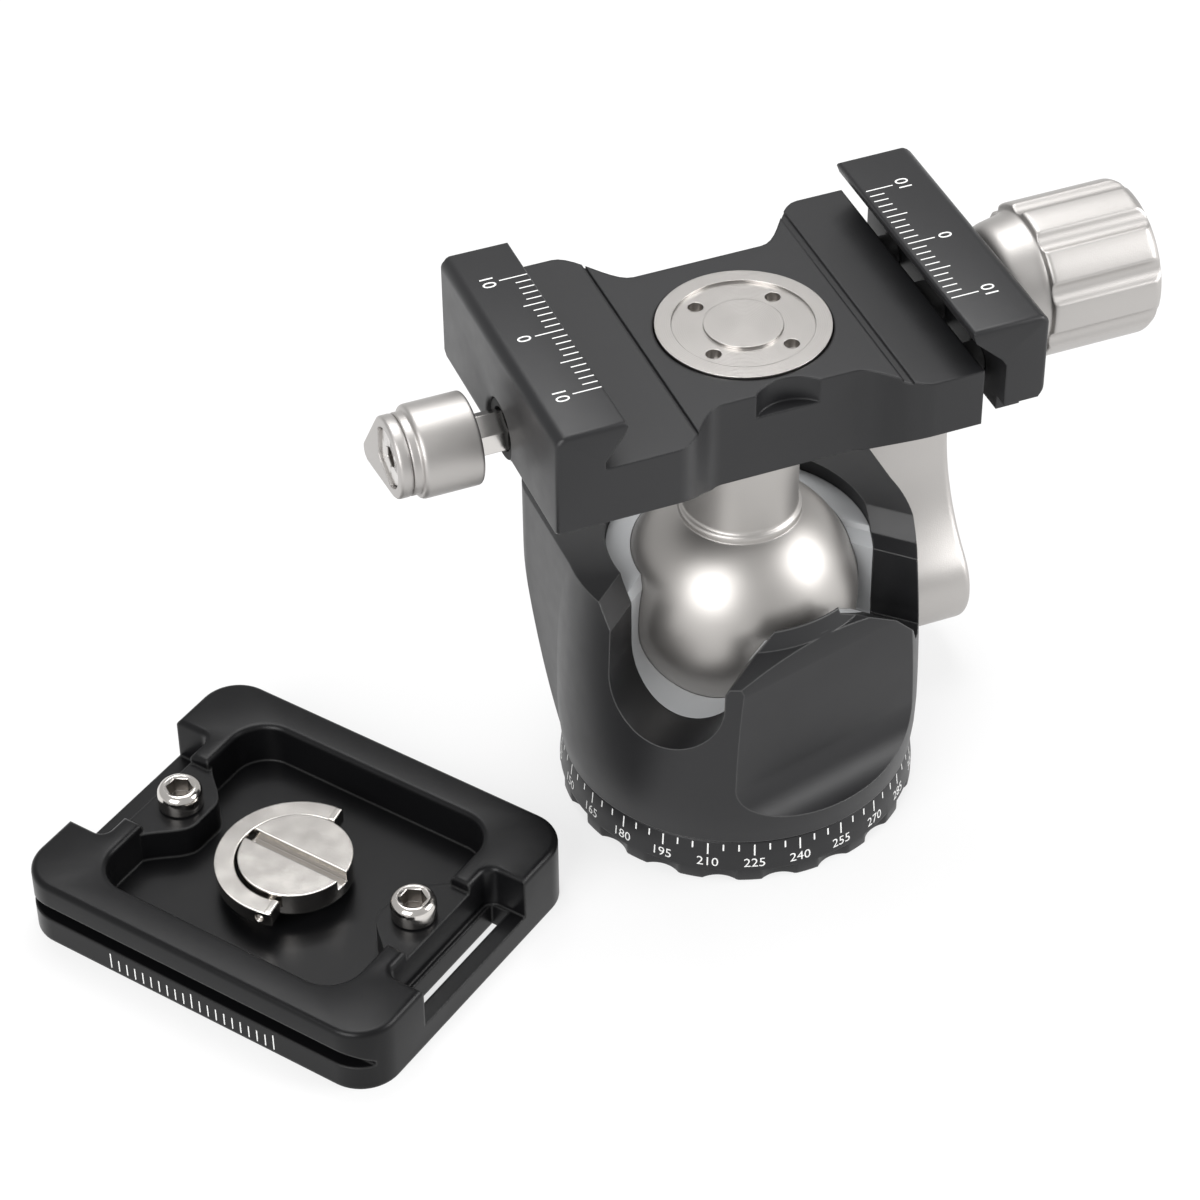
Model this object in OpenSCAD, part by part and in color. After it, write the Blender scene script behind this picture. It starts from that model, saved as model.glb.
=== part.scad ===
// Tripod ball head with a dovetail clamp, a stowed tool and a loose camera plate.
// Millimetres. Z is up. The origin is the mouth of the tripod socket, at the middle of the base's underside.
// X runs across the clamp's jaws, with the clamp knob on the plus side, and Y runs along the jaws.

/* [Pan base] */
// Radius of the degree ring's skirt
ring_r = 19.4; // [18.9:0.1:19.6]
// Radius of the degree ring's scale band at its top
ring_band_r = 19.0; // [18.5:0.1:19.3]
// Height of the degree ring
ring_h = 5.35; // [5.2:0.05:5.4]
// Height of the scalloped skirt
skirt_h = 1.5; // [1.2:0.1:1.8]
// Number of finger notches round the skirt
notch_count = 19; // [12:1:24]
// Radius of one finger notch
notch_r = 3.2; // [2:0.1:4]
// Depth of one finger notch
notch_depth = 0.75; // [0.4:0.05:1]
// Radius of the base hub's disc
hub_r = 16.4; // [15.5:0.1:16.8]
// Thickness of the base hub's disc
hub_h = 5.0; // [4.6:0.1:5]
// Radius of the pan spindle
spindle_r = 7.05; // [6.8:0.05:7.4]
// Outer radius of the threaded bushing
bushing_r = 6.0; // [5.5:0.1:6.2]
// Tapping radius of the tripod thread, for 3/8-16 UNC
socket_r = 4.0; // [3:0.05:4.2]
// Depth of the tripod socket
socket_depth = 8.6; // [7:0.1:8.8]
// Thickness of the pan friction washer
friction_washer_t = 0.5; // [0.3:0.05:0.55]
// Thickness of the pan spring washer
pan_spring_t = 0.3; // [0.2:0.05:0.35]
// Thickness of the pan nut
pan_nut_t = 2.1; // [1.6:0.1:2.1]
// Outer radius of the pan nut
pan_nut_r = 9.9; // [9:0.1:10]

/* [Ball] */
// Radius of the ball
ball_r = 12.75; // [12.6:0.05:12.8]
// Height of the ball's centre
ball_z = 25.3; // [25.2:0.1:25.6]
// Radius of the stem
stem_r = 6.1; // [5.5:0.1:6.3]
// Width of the shoulder ring where the stem leaves the ball
stem_shoulder = 0.4; // [0.2:0.1:0.8]
// Radius of the stem's spigot in the clamp
spigot_r = 5.0; // [4:0.1:5.4]
// Height of the stem's spigot
spigot_h = 3.0; // [2:0.1:4]
// Outer radius of the seat cup under the ball
seat_r = 9.95; // [9.4:0.05:10]
// Height of the seat cup's rim
seat_top_z = 15.2; // [14.4:0.1:15.6]
// Thickness of the seat spring washer
seat_spring_t = 0.25; // [0.2:0.05:0.3]
// Height of the liner's top
liner_top_z = 30.9; // [29.6:0.1:31.2]
// Height of the ball liner's top behind the front tab
liner_tab_z = 28.1; // [27.6:0.1:29]

/* [Housing] */
// Radius of the housing at its foot
foot_r = 19.2; // [18.8:0.1:19.4]
// Greatest radius of the round wall
belly_r = 19.6; // [19.2:0.1:19.7]
// Height of the greatest radius
belly_z = 11; // [9:0.5:13]
// Radius of the round wall at the rim
rim_r = 18.6; // [18.2:0.1:18.9]
// Height of the rim
rim_z = 32.6; // [31.8:0.1:33]
// Radius of the bore that holds the liner
bore_r = 14.2; // [14:0.1:14.4]
// Height of the ledge that carries the liner
ledge_z = 16.0; // [15.8:0.1:16.4]
// Radius of the well that holds the nut and the seat
well_r = 10.3; // [10.2:0.05:10.5]
// Thickness of the housing's floor
floor_t = 2.8; // [2.6:0.1:2.8]
// Half width of the rear block
rear_half_x = 18.5; // [18.2:0.05:18.55]
// Distance from the axis to the rear wall
rear_y = 20.7; // [20.2:0.1:21.5]
// Radius of the rear corners
rear_corner_r = 6; // [5:0.5:7]
// Greatest radius of the flare that trims the rear corners
flare_r = 25.5; // [25:0.1:26]
// Distance from the axis to the front flat
flat_d = 15.6; // [15.4:0.1:16]
// Direction of the front flat, degrees from plus X
flat_azimuth = -76.5; // [-80:0.5:-73]
// Height of the front flat's upper edge
flat_top_z = 26.5; // [25.5:0.1:27]
// Radius of the hollow at the flat's foot
flat_fillet_r = 5; // [4:0.1:6]
// Height where that hollow begins
flat_fillet_z = 13.5; // [12.5:0.1:14.5]

/* [Notches] */
// Direction of the deep drop notch, degrees from plus X
drop_azimuth = -137.8; // [-142:0.1:-134]
// Half width of the drop notch
drop_half_w = 6.6; // [6.4:0.1:6.8]
// Height of the centre of the drop notch's round bottom
drop_z = 24.6; // [24:0.1:25.2]
// Direction of the second notch, degrees from plus X
side_azimuth = -44; // [-46:0.5:-42]
// Distance from the axis plane to the second notch's upright wall
side_wall_w = 5.4; // [5:0.1:6]
// Lowest height of the second notch
side_bottom_z = 21.0; // [20:0.1:22]
// Height of the front tab's inner edge
tab_z = 30.7; // [30:0.1:30.8]
// Half width of the front tab's cut
tab_half_w = 10.4; // [10:0.1:11]
// Direction of the front tab, degrees from plus X
tab_azimuth = -86.5; // [-90:0.5:-83]

/* [Lock] */
// Distance of the lock screw's axis behind the ball's centre
lock_y = 14.8; // [14.6:0.1:15]
// Height of the lock screw's axis
lock_z = 18.9; // [18.7:0.1:19.1]
// Radius of the lock sleeves
sleeve_r = 4.5; // [4.2:0.1:4.6]
// Radius of the lock screw
lock_screw_r = 2.5; // [2:0.1:3]
// Half length of the wing knob between its end circles' centres
wing_half_l = 10; // [9:0.1:10.4]
// Radius of the wing knob's ends
wing_end_r = 6.1; // [5.6:0.1:6.2]
// Half width of the wing knob's waist
wing_waist = 4; // [3.8:0.1:4.6]
// Lean of the wing knob from upright, degrees
wing_lean = -23; // [-40:1:0]
// Distance of the wing knob's inner face from the axis
wing_inner_x = 20; // [20:0.1:20.6]
// Distance of the wing knob's outer face from the axis
wing_outer_x = 31; // [29:0.1:31.4]

/* [Clamp] */
// Height of the clamp's underside
clamp_under_z = 49.5; // [49.3:0.1:50]
// Height of the bed that the camera plate lies on
bed_z = 59.6; // [59.2:0.1:60]
// Height of the jaws' tops
jaw_top_z = 64.6; // [64.2:0.1:65]
// Distance from the axis to the fixed jaw's outer face
fixed_outer_x = 26.5; // [25.6:0.1:27]
// Distance from the axis to the fixed jaw's top inner edge
fixed_inner_x = 18.92; // [18.6:0.1:19.2]
// Distance from the axis to the body's end below the moving jaw
body_end_x = 19.0; // [18.6:0.1:19.2]
// Half length of the jaws along Y
jaw_half_y = 16.2; // [15.6:0.1:16.8]
// Distance from the axis to the body's rear edge
body_rear_y = 17.8; // [17.2:0.1:18.2]
// Half width of the waist at the front
waist_front_y = 11.2; // [10.6:0.1:11.6]
// Half width of the waist at the rear
waist_rear_y = 11.8; // [11.2:0.1:12.2]
// Half length of the waist along X at its mouth
waist_half_x = 13.8; // [13:0.1:14.2]
// Half length of the waist along X at its bottom
waist_flat_x = 7.1; // [6.6:0.1:8]
// Half width of the front thumb pocket
pocket_half_x = 4.6; // [4:0.1:5]
// Depth of the front thumb pocket below the bed
pocket_depth = 2.8; // [2:0.1:3.2]
// Depth of the front thumb pocket behind the waist's edge
pocket_reach = 1.6; // [1:0.1:2]
// Height of the front and rear faces' lower edges
skirt_z = 53.3; // [52.8:0.1:53.8]
// Radius of the screw disc
disc_r = 9.0; // [8.6:0.1:9.2]
// Thickness of the screw disc
disc_t = 2.8; // [2.4:0.1:3.2]
// Rise of the screw disc above the bed
disc_rise = 0.25; // [0.1:0.05:0.4]
// Radius of the disc's shank
shank_r = 2.95; // [2.4:0.05:3]

/* [Moving jaw] */
// Distance from the axis to the moving jaw's top inner edge
moving_inner_x = 17.4; // [17.2:0.1:18]
// Distance from the axis to the moving jaw's outer face
moving_outer_x = 26.0; // [25.6:0.1:26]
// Height of the moving jaw's underside
moving_under_z = 54.6; // [54.2:0.1:55]
// Distance from the axis to the moving jaw's inner wall
moving_wall_x = 21.4; // [21.2:0.1:21.6]
// Height of the clamp screw's axis
screw_z = 56.36; // [56.2:0.02:56.6]
// Radius of the clamp screw
screw_r = 2.5; // [2:0.1:2.6]
// Distance of each guide pin from the clamp screw
pin_y = 10; // [8.5:0.1:11]
// Radius of the guide pins
pin_r = 1.2; // [1:0.1:1.4]
// Distance from the axis to the clamp knob's inner end
knob_start_x = 31.25; // [30.6:0.1:31.6]
// Distance from the axis to the clamp knob's outer end
knob_end_x = 43.64; // [42.6:0.1:44]
// Radius of the clamp knob
knob_r = 8.2; // [7.8:0.1:8.2]
// Radius of the clamp knob's collar
knob_collar_r = 5.5; // [5:0.1:5.8]
// Number of flutes round the clamp knob
flute_count = 9; // [7:1:10]
// Radius of one flute
flute_r = 1.8; // [1.4:0.1:2]
// Depth of one flute
flute_depth = 0.75; // [0.4:0.05:0.9]

/* [Stowed tool] */
// Height of the tool's axis
tool_z = 54.2; // [54:0.1:54.4]
// Corner radius of the hexagonal bar
hex_r = 2.31; // [2:0.01:2.4]
// Length of the hexagonal bar inside the clamp
hex_depth = 16; // [12:0.5:16]
// Distance from the axis to the handle's inner end
handle_start_x = 29.6; // [29.2:0.1:30]
// Length of the handle's wide part
handle_l = 6.18; // [5.5:0.1:6.6]
// Radius of the handle's wide part
handle_r = 4.84; // [4.6:0.02:4.9]
// Length of the handle's narrow part
neck_l = 1.06; // [0.8:0.02:1.4]
// Radius of the handle's narrow part and of the blade
neck_r = 4.26; // [4:0.02:4.4]
// Thickness of the teardrop blade
blade_t = 1.4; // [1.2:0.1:1.6]
// Distance of the blade's point circle from the tool's axis
blade_reach = 8.0; // [7:0.1:8.4]
// Radius of the blade's point
blade_tip_r = 1.2; // [0.9:0.1:1.4]
// Direction of the blade's point below plus Y, degrees
blade_drop = 32; // [20:1:45]

/* [Camera plate] */
// Length of the plate along its strap slots' axis
plate_l = 46; // [45:0.1:47]
// Width of the plate between its long edges
plate_w = 37; // [36:0.1:38]
// Thickness of the plate
plate_h = 8; // [7.6:0.1:8.2]
// Position of the plate's centre along X
plate_x = -51.9; // [-54:0.1:-51]
// Position of the plate's centre along Y
plate_y = -3.2; // [-6:0.1:-1]
// Turn of the plate about Z, degrees
plate_turn = -55.2; // [-57:0.1:-53]
// Radius of the plate's corners
plate_corner_r = 4.5; // [3.5:0.1:5]
// Height of the lip that carries the scale
lip_h = 3.1; // [2.8:0.1:3.3]
// Depth of the dovetail groove
groove_d = 2.0; // [1.6:0.1:2.2]
// Height of the recess's floor
recess_floor_z = 3.0; // [2.6:0.1:3.2]
// Half length of the recess
recess_half_x = 16; // [15.4:0.1:16.4]
// Half width of the recess
recess_half_y = 14.2; // [13.6:0.1:14.6]
// Radius of the recess's corners
recess_corner_r = 4; // [3:0.1:5]
// Half length of the strap notch along the plate's width
strap_half_y = 9.1; // [8.6:0.1:9.6]
// Depth of the strap notch from the plate's end
strap_d = 4.6; // [4.2:0.1:4.8]
// Width of the strap slot
strap_slot_w = 2.2; // [1.8:0.1:2.4]
// Width of the bar outside the strap slot
strap_bar_w = 1.9; // [1.6:0.1:2]
// Height of the bar outside the strap slot
strap_bar_h = 2.8; // [2.4:0.1:3.2]
// Distance of the stop screws from the plate's centre
stop_x = 15.3; // [15:0.1:15.5]
// Radius of a stop screw's head
stop_head_r = 2.45; // [2.2:0.05:2.6]
// Height of a stop screw's head
stop_head_h = 2.6; // [2.2:0.1:3]
// Reach of a stop screw's boss from the pocket's end wall
stop_boss_reach = 4.4; // [4:0.1:4.8]
// Half width of a stop screw's boss at the pocket's end wall
stop_boss_half_y = 7.4; // [6.8:0.1:8]
// Height of a stop screw's boss
stop_boss_z = 6.8; // [6.4:0.1:7.2]
// Radius of the camera screw's head
cam_head_r = 6.1; // [5.8:0.1:6.3]
// Height of the camera screw's head
cam_head_h = 2.7; // [2.4:0.1:3]
// Height of the camera screw's top
cam_top_z = 7.3; // [7:0.1:7.5]
// Radius of the camera thread, for 1/4-20 UNC
cam_thread_r = 3.15; // [3:0.05:3.2]
// Width of the camera screw's coin slot
coin_slot_w = 1.6; // [1.4:0.1:2]
// Depth of the camera screw's coin slot
coin_slot_d = 1.3; // [1:0.1:1.6]
// Outer radius of the folding ring
dring_outer_r = 8.6; // [8.4:0.1:8.8]
// Inner radius of the folding ring
dring_inner_r = 6.5; // [6.4:0.05:6.6]
// Thickness of the folding ring
dring_t = 1.7; // [1.5:0.1:1.8]
// Direction of the folding ring's pivots in the plate's frame, degrees
dring_turn = 100; // [90:1:110]

/* [Hidden] */
$fn = 64;

// Running clearance of shafts and rings
fit = 0.04;
// Running clearance of the ball in its seats
ball_fit = 0.05;
// Clearance between flat faces that slide
face_gap = 0.05;
// Clearance between the lock sleeves and the ball
sleeve_gap = 0.08;
// Clearance of screws and pins in plain holes
loose = 0.15;
// Overrun of cuts past faces
over = 1;
// Small chamfer on turned edges
chamfer = 0.4;
// Number of steps along a computed profile
steps = 10;

// Directions of the second notch's outline points: shares of its wall distance, then of its depth
side_notch_shares = [[-1.04, 0.92], [-0.15, 0.57], [0.3, 0.25], [0.45, 0.06], [0.7, 0], [0.92, 0.06], [1, 0.2]];
// Ledge beside the second notch: its width and the width of its slope, in shares of the wall distance
side_ledge_share = 1.37;
side_slope_share = 1.7;
// Height of that ledge below the rim
side_ledge_drop = 2.6;
// Shoulder on the drop notch's left edge: width, then drop below the rim
shoulder_w = 1.8;
shoulder_drop = 2.6;
// Spread of the drop notch's right flank at the tab's height
flank_w = 2.4;
// Height above the drop notch's centre where that flank begins
flank_start = 1.9;
// Steep part of the front tab's top: its width, then its drop
tab_steep_w = 0.7;
tab_steep_drop = 2.1;
// Drop of the front tab's top from its steep part to the outer wall
tab_slope_drop = 2.0;
// Height where the flare that trims the rear corners begins
flare_start_z = 6.5;
// Inner edge of the bevel above the front flat, behind the flat
flat_bevel_d = 0.85;

housing_z = hub_h + face_gap + friction_washer_t + face_gap;
floor_z = housing_z + floor_t;
pan_spring_z = floor_z + face_gap;
pan_nut_z = pan_spring_z + pan_spring_t + face_gap;
nut_slot = stem_shoulder + stem_shoulder;
spindle_top_z = pan_nut_z + pan_nut_t;
seat_spring_z = spindle_top_z + face_gap;
seat_z = seat_spring_z + seat_spring_t + face_gap;
liner_r = bore_r - face_gap;
cup_r = ball_r + ball_fit;
flare_span_z = rim_z - flare_start_z;
notch_phase = -118.3;
washer_inner_r = spindle_r + loose;
seat_spring_inner_r = seat_r - spindle_r / 2;

sleeve_bore_r = sleeve_r + fit;
lock_bore_depth = sleeve_r * 2.6;
lock_washer_t = 0.8;
lock_washer_r = sleeve_bore_r + chamfer + chamfer;
side_x = rim_r - face_gap - face_gap;
wing_hub_x = side_x + face_gap + lock_washer_t + face_gap;
wing_screw_x = wing_outer_x - lock_screw_r;
sleeve_space = 1;
sleeve_l = lock_bore_depth - sleeve_space - lock_screw_r;
sleeve_end_x = side_x - sleeve_space;
flank_r = (wing_half_l * wing_half_l + wing_waist * wing_waist - wing_end_r * wing_end_r)
    / (wing_end_r + wing_end_r - wing_waist - wing_waist);
flank_centre = wing_waist + flank_r;
lock_cap_r = lock_screw_r + chamfer;

jaw_undercut = 2.5;
jaw_lip = 1.4;
jaw_lip_w = 0.5;
jaw_chamfer = 0.8;
bed_groove_x = 11;
bed_groove_w = 0.8;
bed_groove_d = 0.3;
bed_line_x = 11.2;
bed_line_w = 0.25;
under_bevel_y = jaw_half_y - waist_front_y;
end_bevel = 4.5;
disc_recess_r = disc_r + loose;
disc_floor_z = bed_z + disc_rise - disc_t;
disc_ring_share = 0.811;
disc_boss_share = 0.452;
disc_step = 0.3;
spanner_r = 0.8;
spanner_reach = disc_r * (disc_ring_share + disc_boss_share) / 2;
spanner_turn = 35;
shank_z = clamp_under_z - spigot_h - spigot_h;
spigot_top_z = clamp_under_z + spigot_h;

jaw_travel = 2.2;
screw_bore_x = disc_recess_r + chamfer;
jaw_lean = moving_wall_x - moving_inner_x - jaw_lip_w;
jaw_foot_h = 1.6;
jaw_foot_outer = 2.0;
jaw_foot_inset = 1.6;
pin_z = screw_z;
pin_depth = 6;
spring_r = pin_r + loose;
spring_t = 0.4;
spring_pocket_r = spring_r + spring_t + loose;
spring_pocket_d = 2.2;
clamp_washer_t = 0.6;
clamp_washer_x = moving_outer_x + face_gap;
collar_x = clamp_washer_x + clamp_washer_t + face_gap;
knob_chamfer = 0.5;
flute_phase = 27.5;

hex_bore_r = hex_r + loose;
mouth_r = hex_bore_r + chamfer + chamfer;
mouth_d = 1.2;
tool_ring_t = 0.8;
blade_x = handle_start_x + handle_l + neck_l;
tool_end_x = blade_x + blade_t;
tool_cap_r = neck_r * 3 / 4;
tool_cap_d = 0.4;
tool_socket_r = tool_cap_r / 3;
tool_shank_r = hex_r / 2;

groove_top_h = 1.6;
groove_rise = 1.4;
stop_shank_r = 1.5;
stop_socket_r = 1.45;
stop_socket_d = 1.8;
stop_z = recess_floor_z + chamfer;
stop_nose_half_y = 1.6;
stop_cut_half_y = 5.6;
boss_wall_x = recess_half_x + chamfer;
notch_corner_r = 1.3;
cam_hole_r = cam_thread_r + fit;
cam_bottom_z = cam_top_z - cam_head_h;
dring_z = cam_bottom_z + (cam_head_h - dring_t) / 2;
dring_pin_r = 0.5;
dring_ear_w = 2.6;
dring_pin_l = 1.6;

black = [0.06, 0.06, 0.065];
silver = [0.72, 0.71, 0.69];
steel = [0.78, 0.77, 0.75];
grey = [0.74, 0.74, 0.73];
dark = [0.18, 0.18, 0.19];

// A ring standing on z, between two radii.
module ring(z, h, inner, outer) {
    translate([0, 0, z])
        difference() {
            cylinder(r = outer, h = h);
            translate([0, 0, -over]) cylinder(r = inner, h = h + over + over);
        }
}

// A round bar along X between two stations, on the axis at y and z.
module bar_x(x0, x1, y, z, r) {
    translate([x0, y, z]) rotate([0, 90, 0]) cylinder(r = r, h = x1 - x0);
}

// A tube along X between two stations.
module tube_x(x0, x1, y, z, inner, outer) {
    difference() {
        bar_x(x0, x1, y, z, outer);
        bar_x(x0 - over, x1 + over, y, z, inner);
    }
}

// An outline of [across, height] points pushed outwards from the axis in one direction.
module outward(azimuth, from, reach, points) {
    rotate([0, 0, azimuth])
        translate([from, 0, 0])
            rotate([90, 0, 90]) linear_extrude(height = reach) polygon(points);
}

// An outline of [x, z] points pushed along Y between two stations.
module along_y(y0, y1, points) {
    translate([0, y1, 0]) rotate([90, 0, 0]) linear_extrude(height = y1 - y0) polygon(points);
}

module rounded_rect(half_x, half_y, r, h) {
    linear_extrude(height = h)
        union() {
            square([half_x + half_x, half_y + half_y - r - r], center = true);
            square([half_x + half_x - r - r, half_y + half_y], center = true);
            for (sx = [-1, 1], sy = [-1, 1])
                translate([sx * (half_x - r), sy * (half_y - r)]) circle(r = r);
        }
}

module base_hub() {
    color(black)
        difference() {
            union() {
                cylinder(r = hub_r, h = hub_h);
                cylinder(r = spindle_r, h = spindle_top_z);
            }
            translate([0, 0, -over]) cylinder(r = bushing_r + fit, h = socket_depth + over);
        }
}

module degree_ring() {
    color(black)
        difference() {
            rotate_extrude()
                polygon([[hub_r + fit, 0], [ring_r - chamfer, 0], [ring_r, chamfer], [ring_r, skirt_h],
                    [ring_band_r, ring_h], [hub_r + fit, ring_h]]);
            for (i = [0 : notch_count - 1])
                rotate([0, 0, notch_phase + i * 360 / notch_count])
                    translate([ring_r + notch_r - notch_depth, 0, -over])
                        cylinder(r = notch_r, h = skirt_h + over);
        }
}

module tripod_bushing() {
    color(steel) ring(0, socket_depth, socket_r, bushing_r);
}

module friction_washer() {
    color(grey) ring(hub_h + face_gap, friction_washer_t, washer_inner_r, hub_r - chamfer);
}

module pan_spring_washer() {
    color(steel) ring(pan_spring_z, pan_spring_t, washer_inner_r, pan_nut_r);
}

module pan_nut() {
    color(steel)
        difference() {
            ring(pan_nut_z, pan_nut_t, spindle_r + fit, pan_nut_r);
            for (side = [-1, 1])
                translate([side * pan_nut_r - nut_slot, -nut_slot, pan_nut_z + pan_nut_t / 2])
                    cube([nut_slot + nut_slot, nut_slot + nut_slot, pan_nut_t]);
        }
}

module seat_spring() {
    color(steel) ring(seat_spring_z, seat_spring_t, seat_spring_inner_r, seat_r - chamfer);
}

module ball_seat() {
    color(grey)
        difference() {
            translate([0, 0, seat_z]) cylinder(r = seat_r, h = seat_top_z - seat_z);
            translate([0, 0, ball_z]) sphere(r = cup_r);
        }
}

// What both notches take out of the housing and of the liner.
module notches() {
    drop_left = -drop_half_w;
    top = rim_z + over;
    shoulder_top = shoulder_w * (top - rim_z + shoulder_drop) / shoulder_drop;
    flank_top = flank_w * (top - drop_z - flank_start) / (tab_z - drop_z - flank_start);
    outward(drop_azimuth, 0, flare_r, [
        [drop_left - shoulder_top, top], [drop_left, rim_z - shoulder_drop], [drop_left, drop_z],
        [drop_half_w, drop_z], [drop_half_w, drop_z + flank_start], [drop_half_w + flank_top, top]]);
    rotate([0, 0, drop_azimuth]) bar_x(0, flare_r, 0, drop_z, drop_half_w);
    side_depth = tab_z - side_bottom_z;
    ledge_z0 = rim_z - side_ledge_drop;
    slope_w = (side_slope_share - side_ledge_share) * side_wall_w;
    slope_top = slope_w * (top - ledge_z0 - chamfer) / (rim_z - ledge_z0 - chamfer);
    outward(side_azimuth, 0, flare_r, concat(
        [for (s = side_notch_shares) [s[0] * side_wall_w, side_bottom_z + s[1] * side_depth]],
        [[side_wall_w, ledge_z0], [side_ledge_share * side_wall_w, ledge_z0 + chamfer],
            [side_ledge_share * side_wall_w + slope_top, top], [side_notch_shares[0][0] * side_wall_w, top]]));
}

module ball_liner() {
    color(grey)
        difference() {
            translate([0, 0, ledge_z + face_gap])
                cylinder(r = liner_r, h = liner_top_z - ledge_z - face_gap);
            translate([0, 0, ball_z]) sphere(r = cup_r);
            notches();
            rotate([0, 0, tab_azimuth])
                translate([0, -tab_half_w, liner_tab_z]) cube([flare_r, tab_half_w + tab_half_w, rim_z]);
            bar_x(-liner_r, liner_r, lock_y, lock_z, sleeve_bore_r + loose);
        }
}

function wall_r(z) = z < belly_z
    ? belly_r - (belly_r - foot_r) * pow((belly_z - z) / (belly_z - housing_z), 2)
    : belly_r - (belly_r - rim_r) * pow((z - belly_z) / (rim_z - belly_z), 2);

function flare_at(z) = foot_r + (flare_r - foot_r) * sin(90 * (z - flare_start_z) / flare_span_z);

module round_wall() {
    rotate_extrude()
        polygon(concat([[0, housing_z]],
            [for (i = [0 : steps]) let (z = housing_z + (rim_z - housing_z) * i / steps) [wall_r(z), z]],
            [[0, rim_z]]));
}

module rear_block() {
    half = rear_half_x;
    intersection() {
        translate([0, 0, flare_start_z])
            linear_extrude(height = rim_z - flare_start_z)
                union() {
                    translate([-half, 0]) square([half + half, rear_y - rear_corner_r]);
                    translate([rear_corner_r - half, 0])
                        square([half + half - rear_corner_r - rear_corner_r, rear_y]);
                    for (side = [-1, 1])
                        translate([side * (half - rear_corner_r), rear_y - rear_corner_r])
                            circle(r = rear_corner_r);
                }
        rotate_extrude()
            polygon(concat([[0, flare_start_z]],
                [for (i = [0 : steps]) let (z = flare_start_z + flare_span_z * i / steps) [flare_at(z), z]],
                [[0, rim_z]]));
    }
}

// What is milled off above the front tab, sloping outwards and down.
module tab_top() {
    intersection() {
        rotate([0, 0, tab_azimuth])
            translate([0, -tab_half_w, 0]) cube([flare_r, tab_half_w + tab_half_w, rim_z + over]);
        rotate_extrude()
            polygon([[bore_r - over, tab_z], [bore_r, tab_z],
                [bore_r + tab_steep_w, tab_z - tab_steep_drop],
                [belly_r + over, tab_z - tab_steep_drop - tab_slope_drop],
                [belly_r + over, rim_z + over], [bore_r - over, rim_z + over]]);
    }
}

module front_flat() {
    half = flat_d;
    reach = flare_r;
    rotate([0, 0, flat_azimuth]) {
        translate([0, half, 0]) rotate([90, 0, 0])
            linear_extrude(height = half + half)
                polygon([[flat_d, flat_fillet_z], [flat_d, flat_top_z],
                    [flat_d - flat_bevel_d, tab_z - tab_steep_drop + chamfer],
                    [reach, tab_z - tab_steep_drop + chamfer], [reach, flat_fillet_z]]);
        translate([flat_d + flat_fillet_r, half, flat_fillet_z]) rotate([90, 0, 0])
            cylinder(r = flat_fillet_r, h = half + half);
    }
}

module housing() {
    color(black)
        difference() {
            union() {
                round_wall();
                rear_block();
            }
            translate([0, 0, housing_z - over]) cylinder(r = spindle_r + fit, h = floor_t + over + over);
            translate([0, 0, floor_z]) cylinder(r = well_r, h = rim_z);
            translate([0, 0, ledge_z]) cylinder(r = bore_r, h = rim_z);
            notches();
            tab_top();
            front_flat();
            bar_x(-lock_bore_depth, rim_r + over, lock_y, lock_z, sleeve_bore_r);
        }
}

module lock_sleeve(x0, x1) {
    difference() {
        bar_x(x0, x1, lock_y, lock_z, sleeve_r);
        bar_x(x0 - over, x1 + over, lock_y, lock_z, lock_screw_r + fit);
        translate([0, 0, ball_z]) sphere(r = ball_r + sleeve_gap);
    }
}

module lock_sleeve_left() {
    color(steel) lock_sleeve(-sleeve_space - sleeve_l, -sleeve_space);
}

module lock_sleeve_right() {
    color(steel) lock_sleeve(sleeve_space, sleeve_end_x);
}

module lock_screw() {
    color(steel)
        difference() {
            bar_x(-sleeve_space - sleeve_l - over, wing_screw_x, lock_y, lock_z, lock_screw_r);
            bar_x(wing_screw_x - wing_waist, wing_screw_x + over, lock_y, lock_z, lock_screw_r / 2);
        }
}

module lock_washer() {
    color(steel)
        tube_x(side_x + face_gap + face_gap + face_gap, wing_hub_x, lock_y, lock_z, lock_screw_r + loose,
            lock_washer_r);
}

// Points of an arc about a centre, between two angles.
function arc(x, y, r, a0, a1) = [for (i = [0 : steps + steps]) let (a = a0 + (a1 - a0) * i / (steps + steps))
    [x + r * cos(a), y + r * sin(a)]];

// The wing's outline: two round ends joined by hollow flanks that run into them smoothly.
module wing_outline() {
    lean = atan(wing_half_l / flank_centre);
    polygon(concat(
        arc(0, wing_half_l, wing_end_r, -lean, 180 + lean),
        arc(-flank_centre, 0, flank_r, lean, -lean),
        arc(0, -wing_half_l, wing_end_r, 180 - lean, 360 + lean),
        arc(flank_centre, 0, flank_r, 180 + lean, 180 - lean)));
}

module lock_knob() {
    color(silver)
        difference() {
            union() {
                translate([wing_inner_x, lock_y, lock_z])
                    rotate([wing_lean, 0, 0]) rotate([90, 0, 90])
                        linear_extrude(height = wing_outer_x - wing_inner_x) wing_outline();
                bar_x(wing_hub_x + face_gap, wing_inner_x + over, lock_y, lock_z, wing_waist - chamfer);
            }
            bar_x(wing_hub_x - over, wing_outer_x + over, lock_y, lock_z, lock_screw_r + fit);
            bar_x(wing_screw_x, wing_outer_x + over, lock_y, lock_z, lock_cap_r + fit);
        }
}

module lock_knob_screw() {
    color(steel)
        difference() {
            union() {
                bar_x(wing_screw_x + face_gap, wing_outer_x - chamfer, lock_y, lock_z, lock_cap_r);
                bar_x(wing_screw_x - wing_waist + chamfer, wing_screw_x + over, lock_y, lock_z,
                    lock_screw_r / 2 - fit);
            }
            translate([wing_outer_x - stop_socket_d, lock_y, lock_z])
                rotate([0, 90, 0]) cylinder(r = stop_socket_r, h = stop_socket_d, $fn = 6);
        }
}

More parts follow.
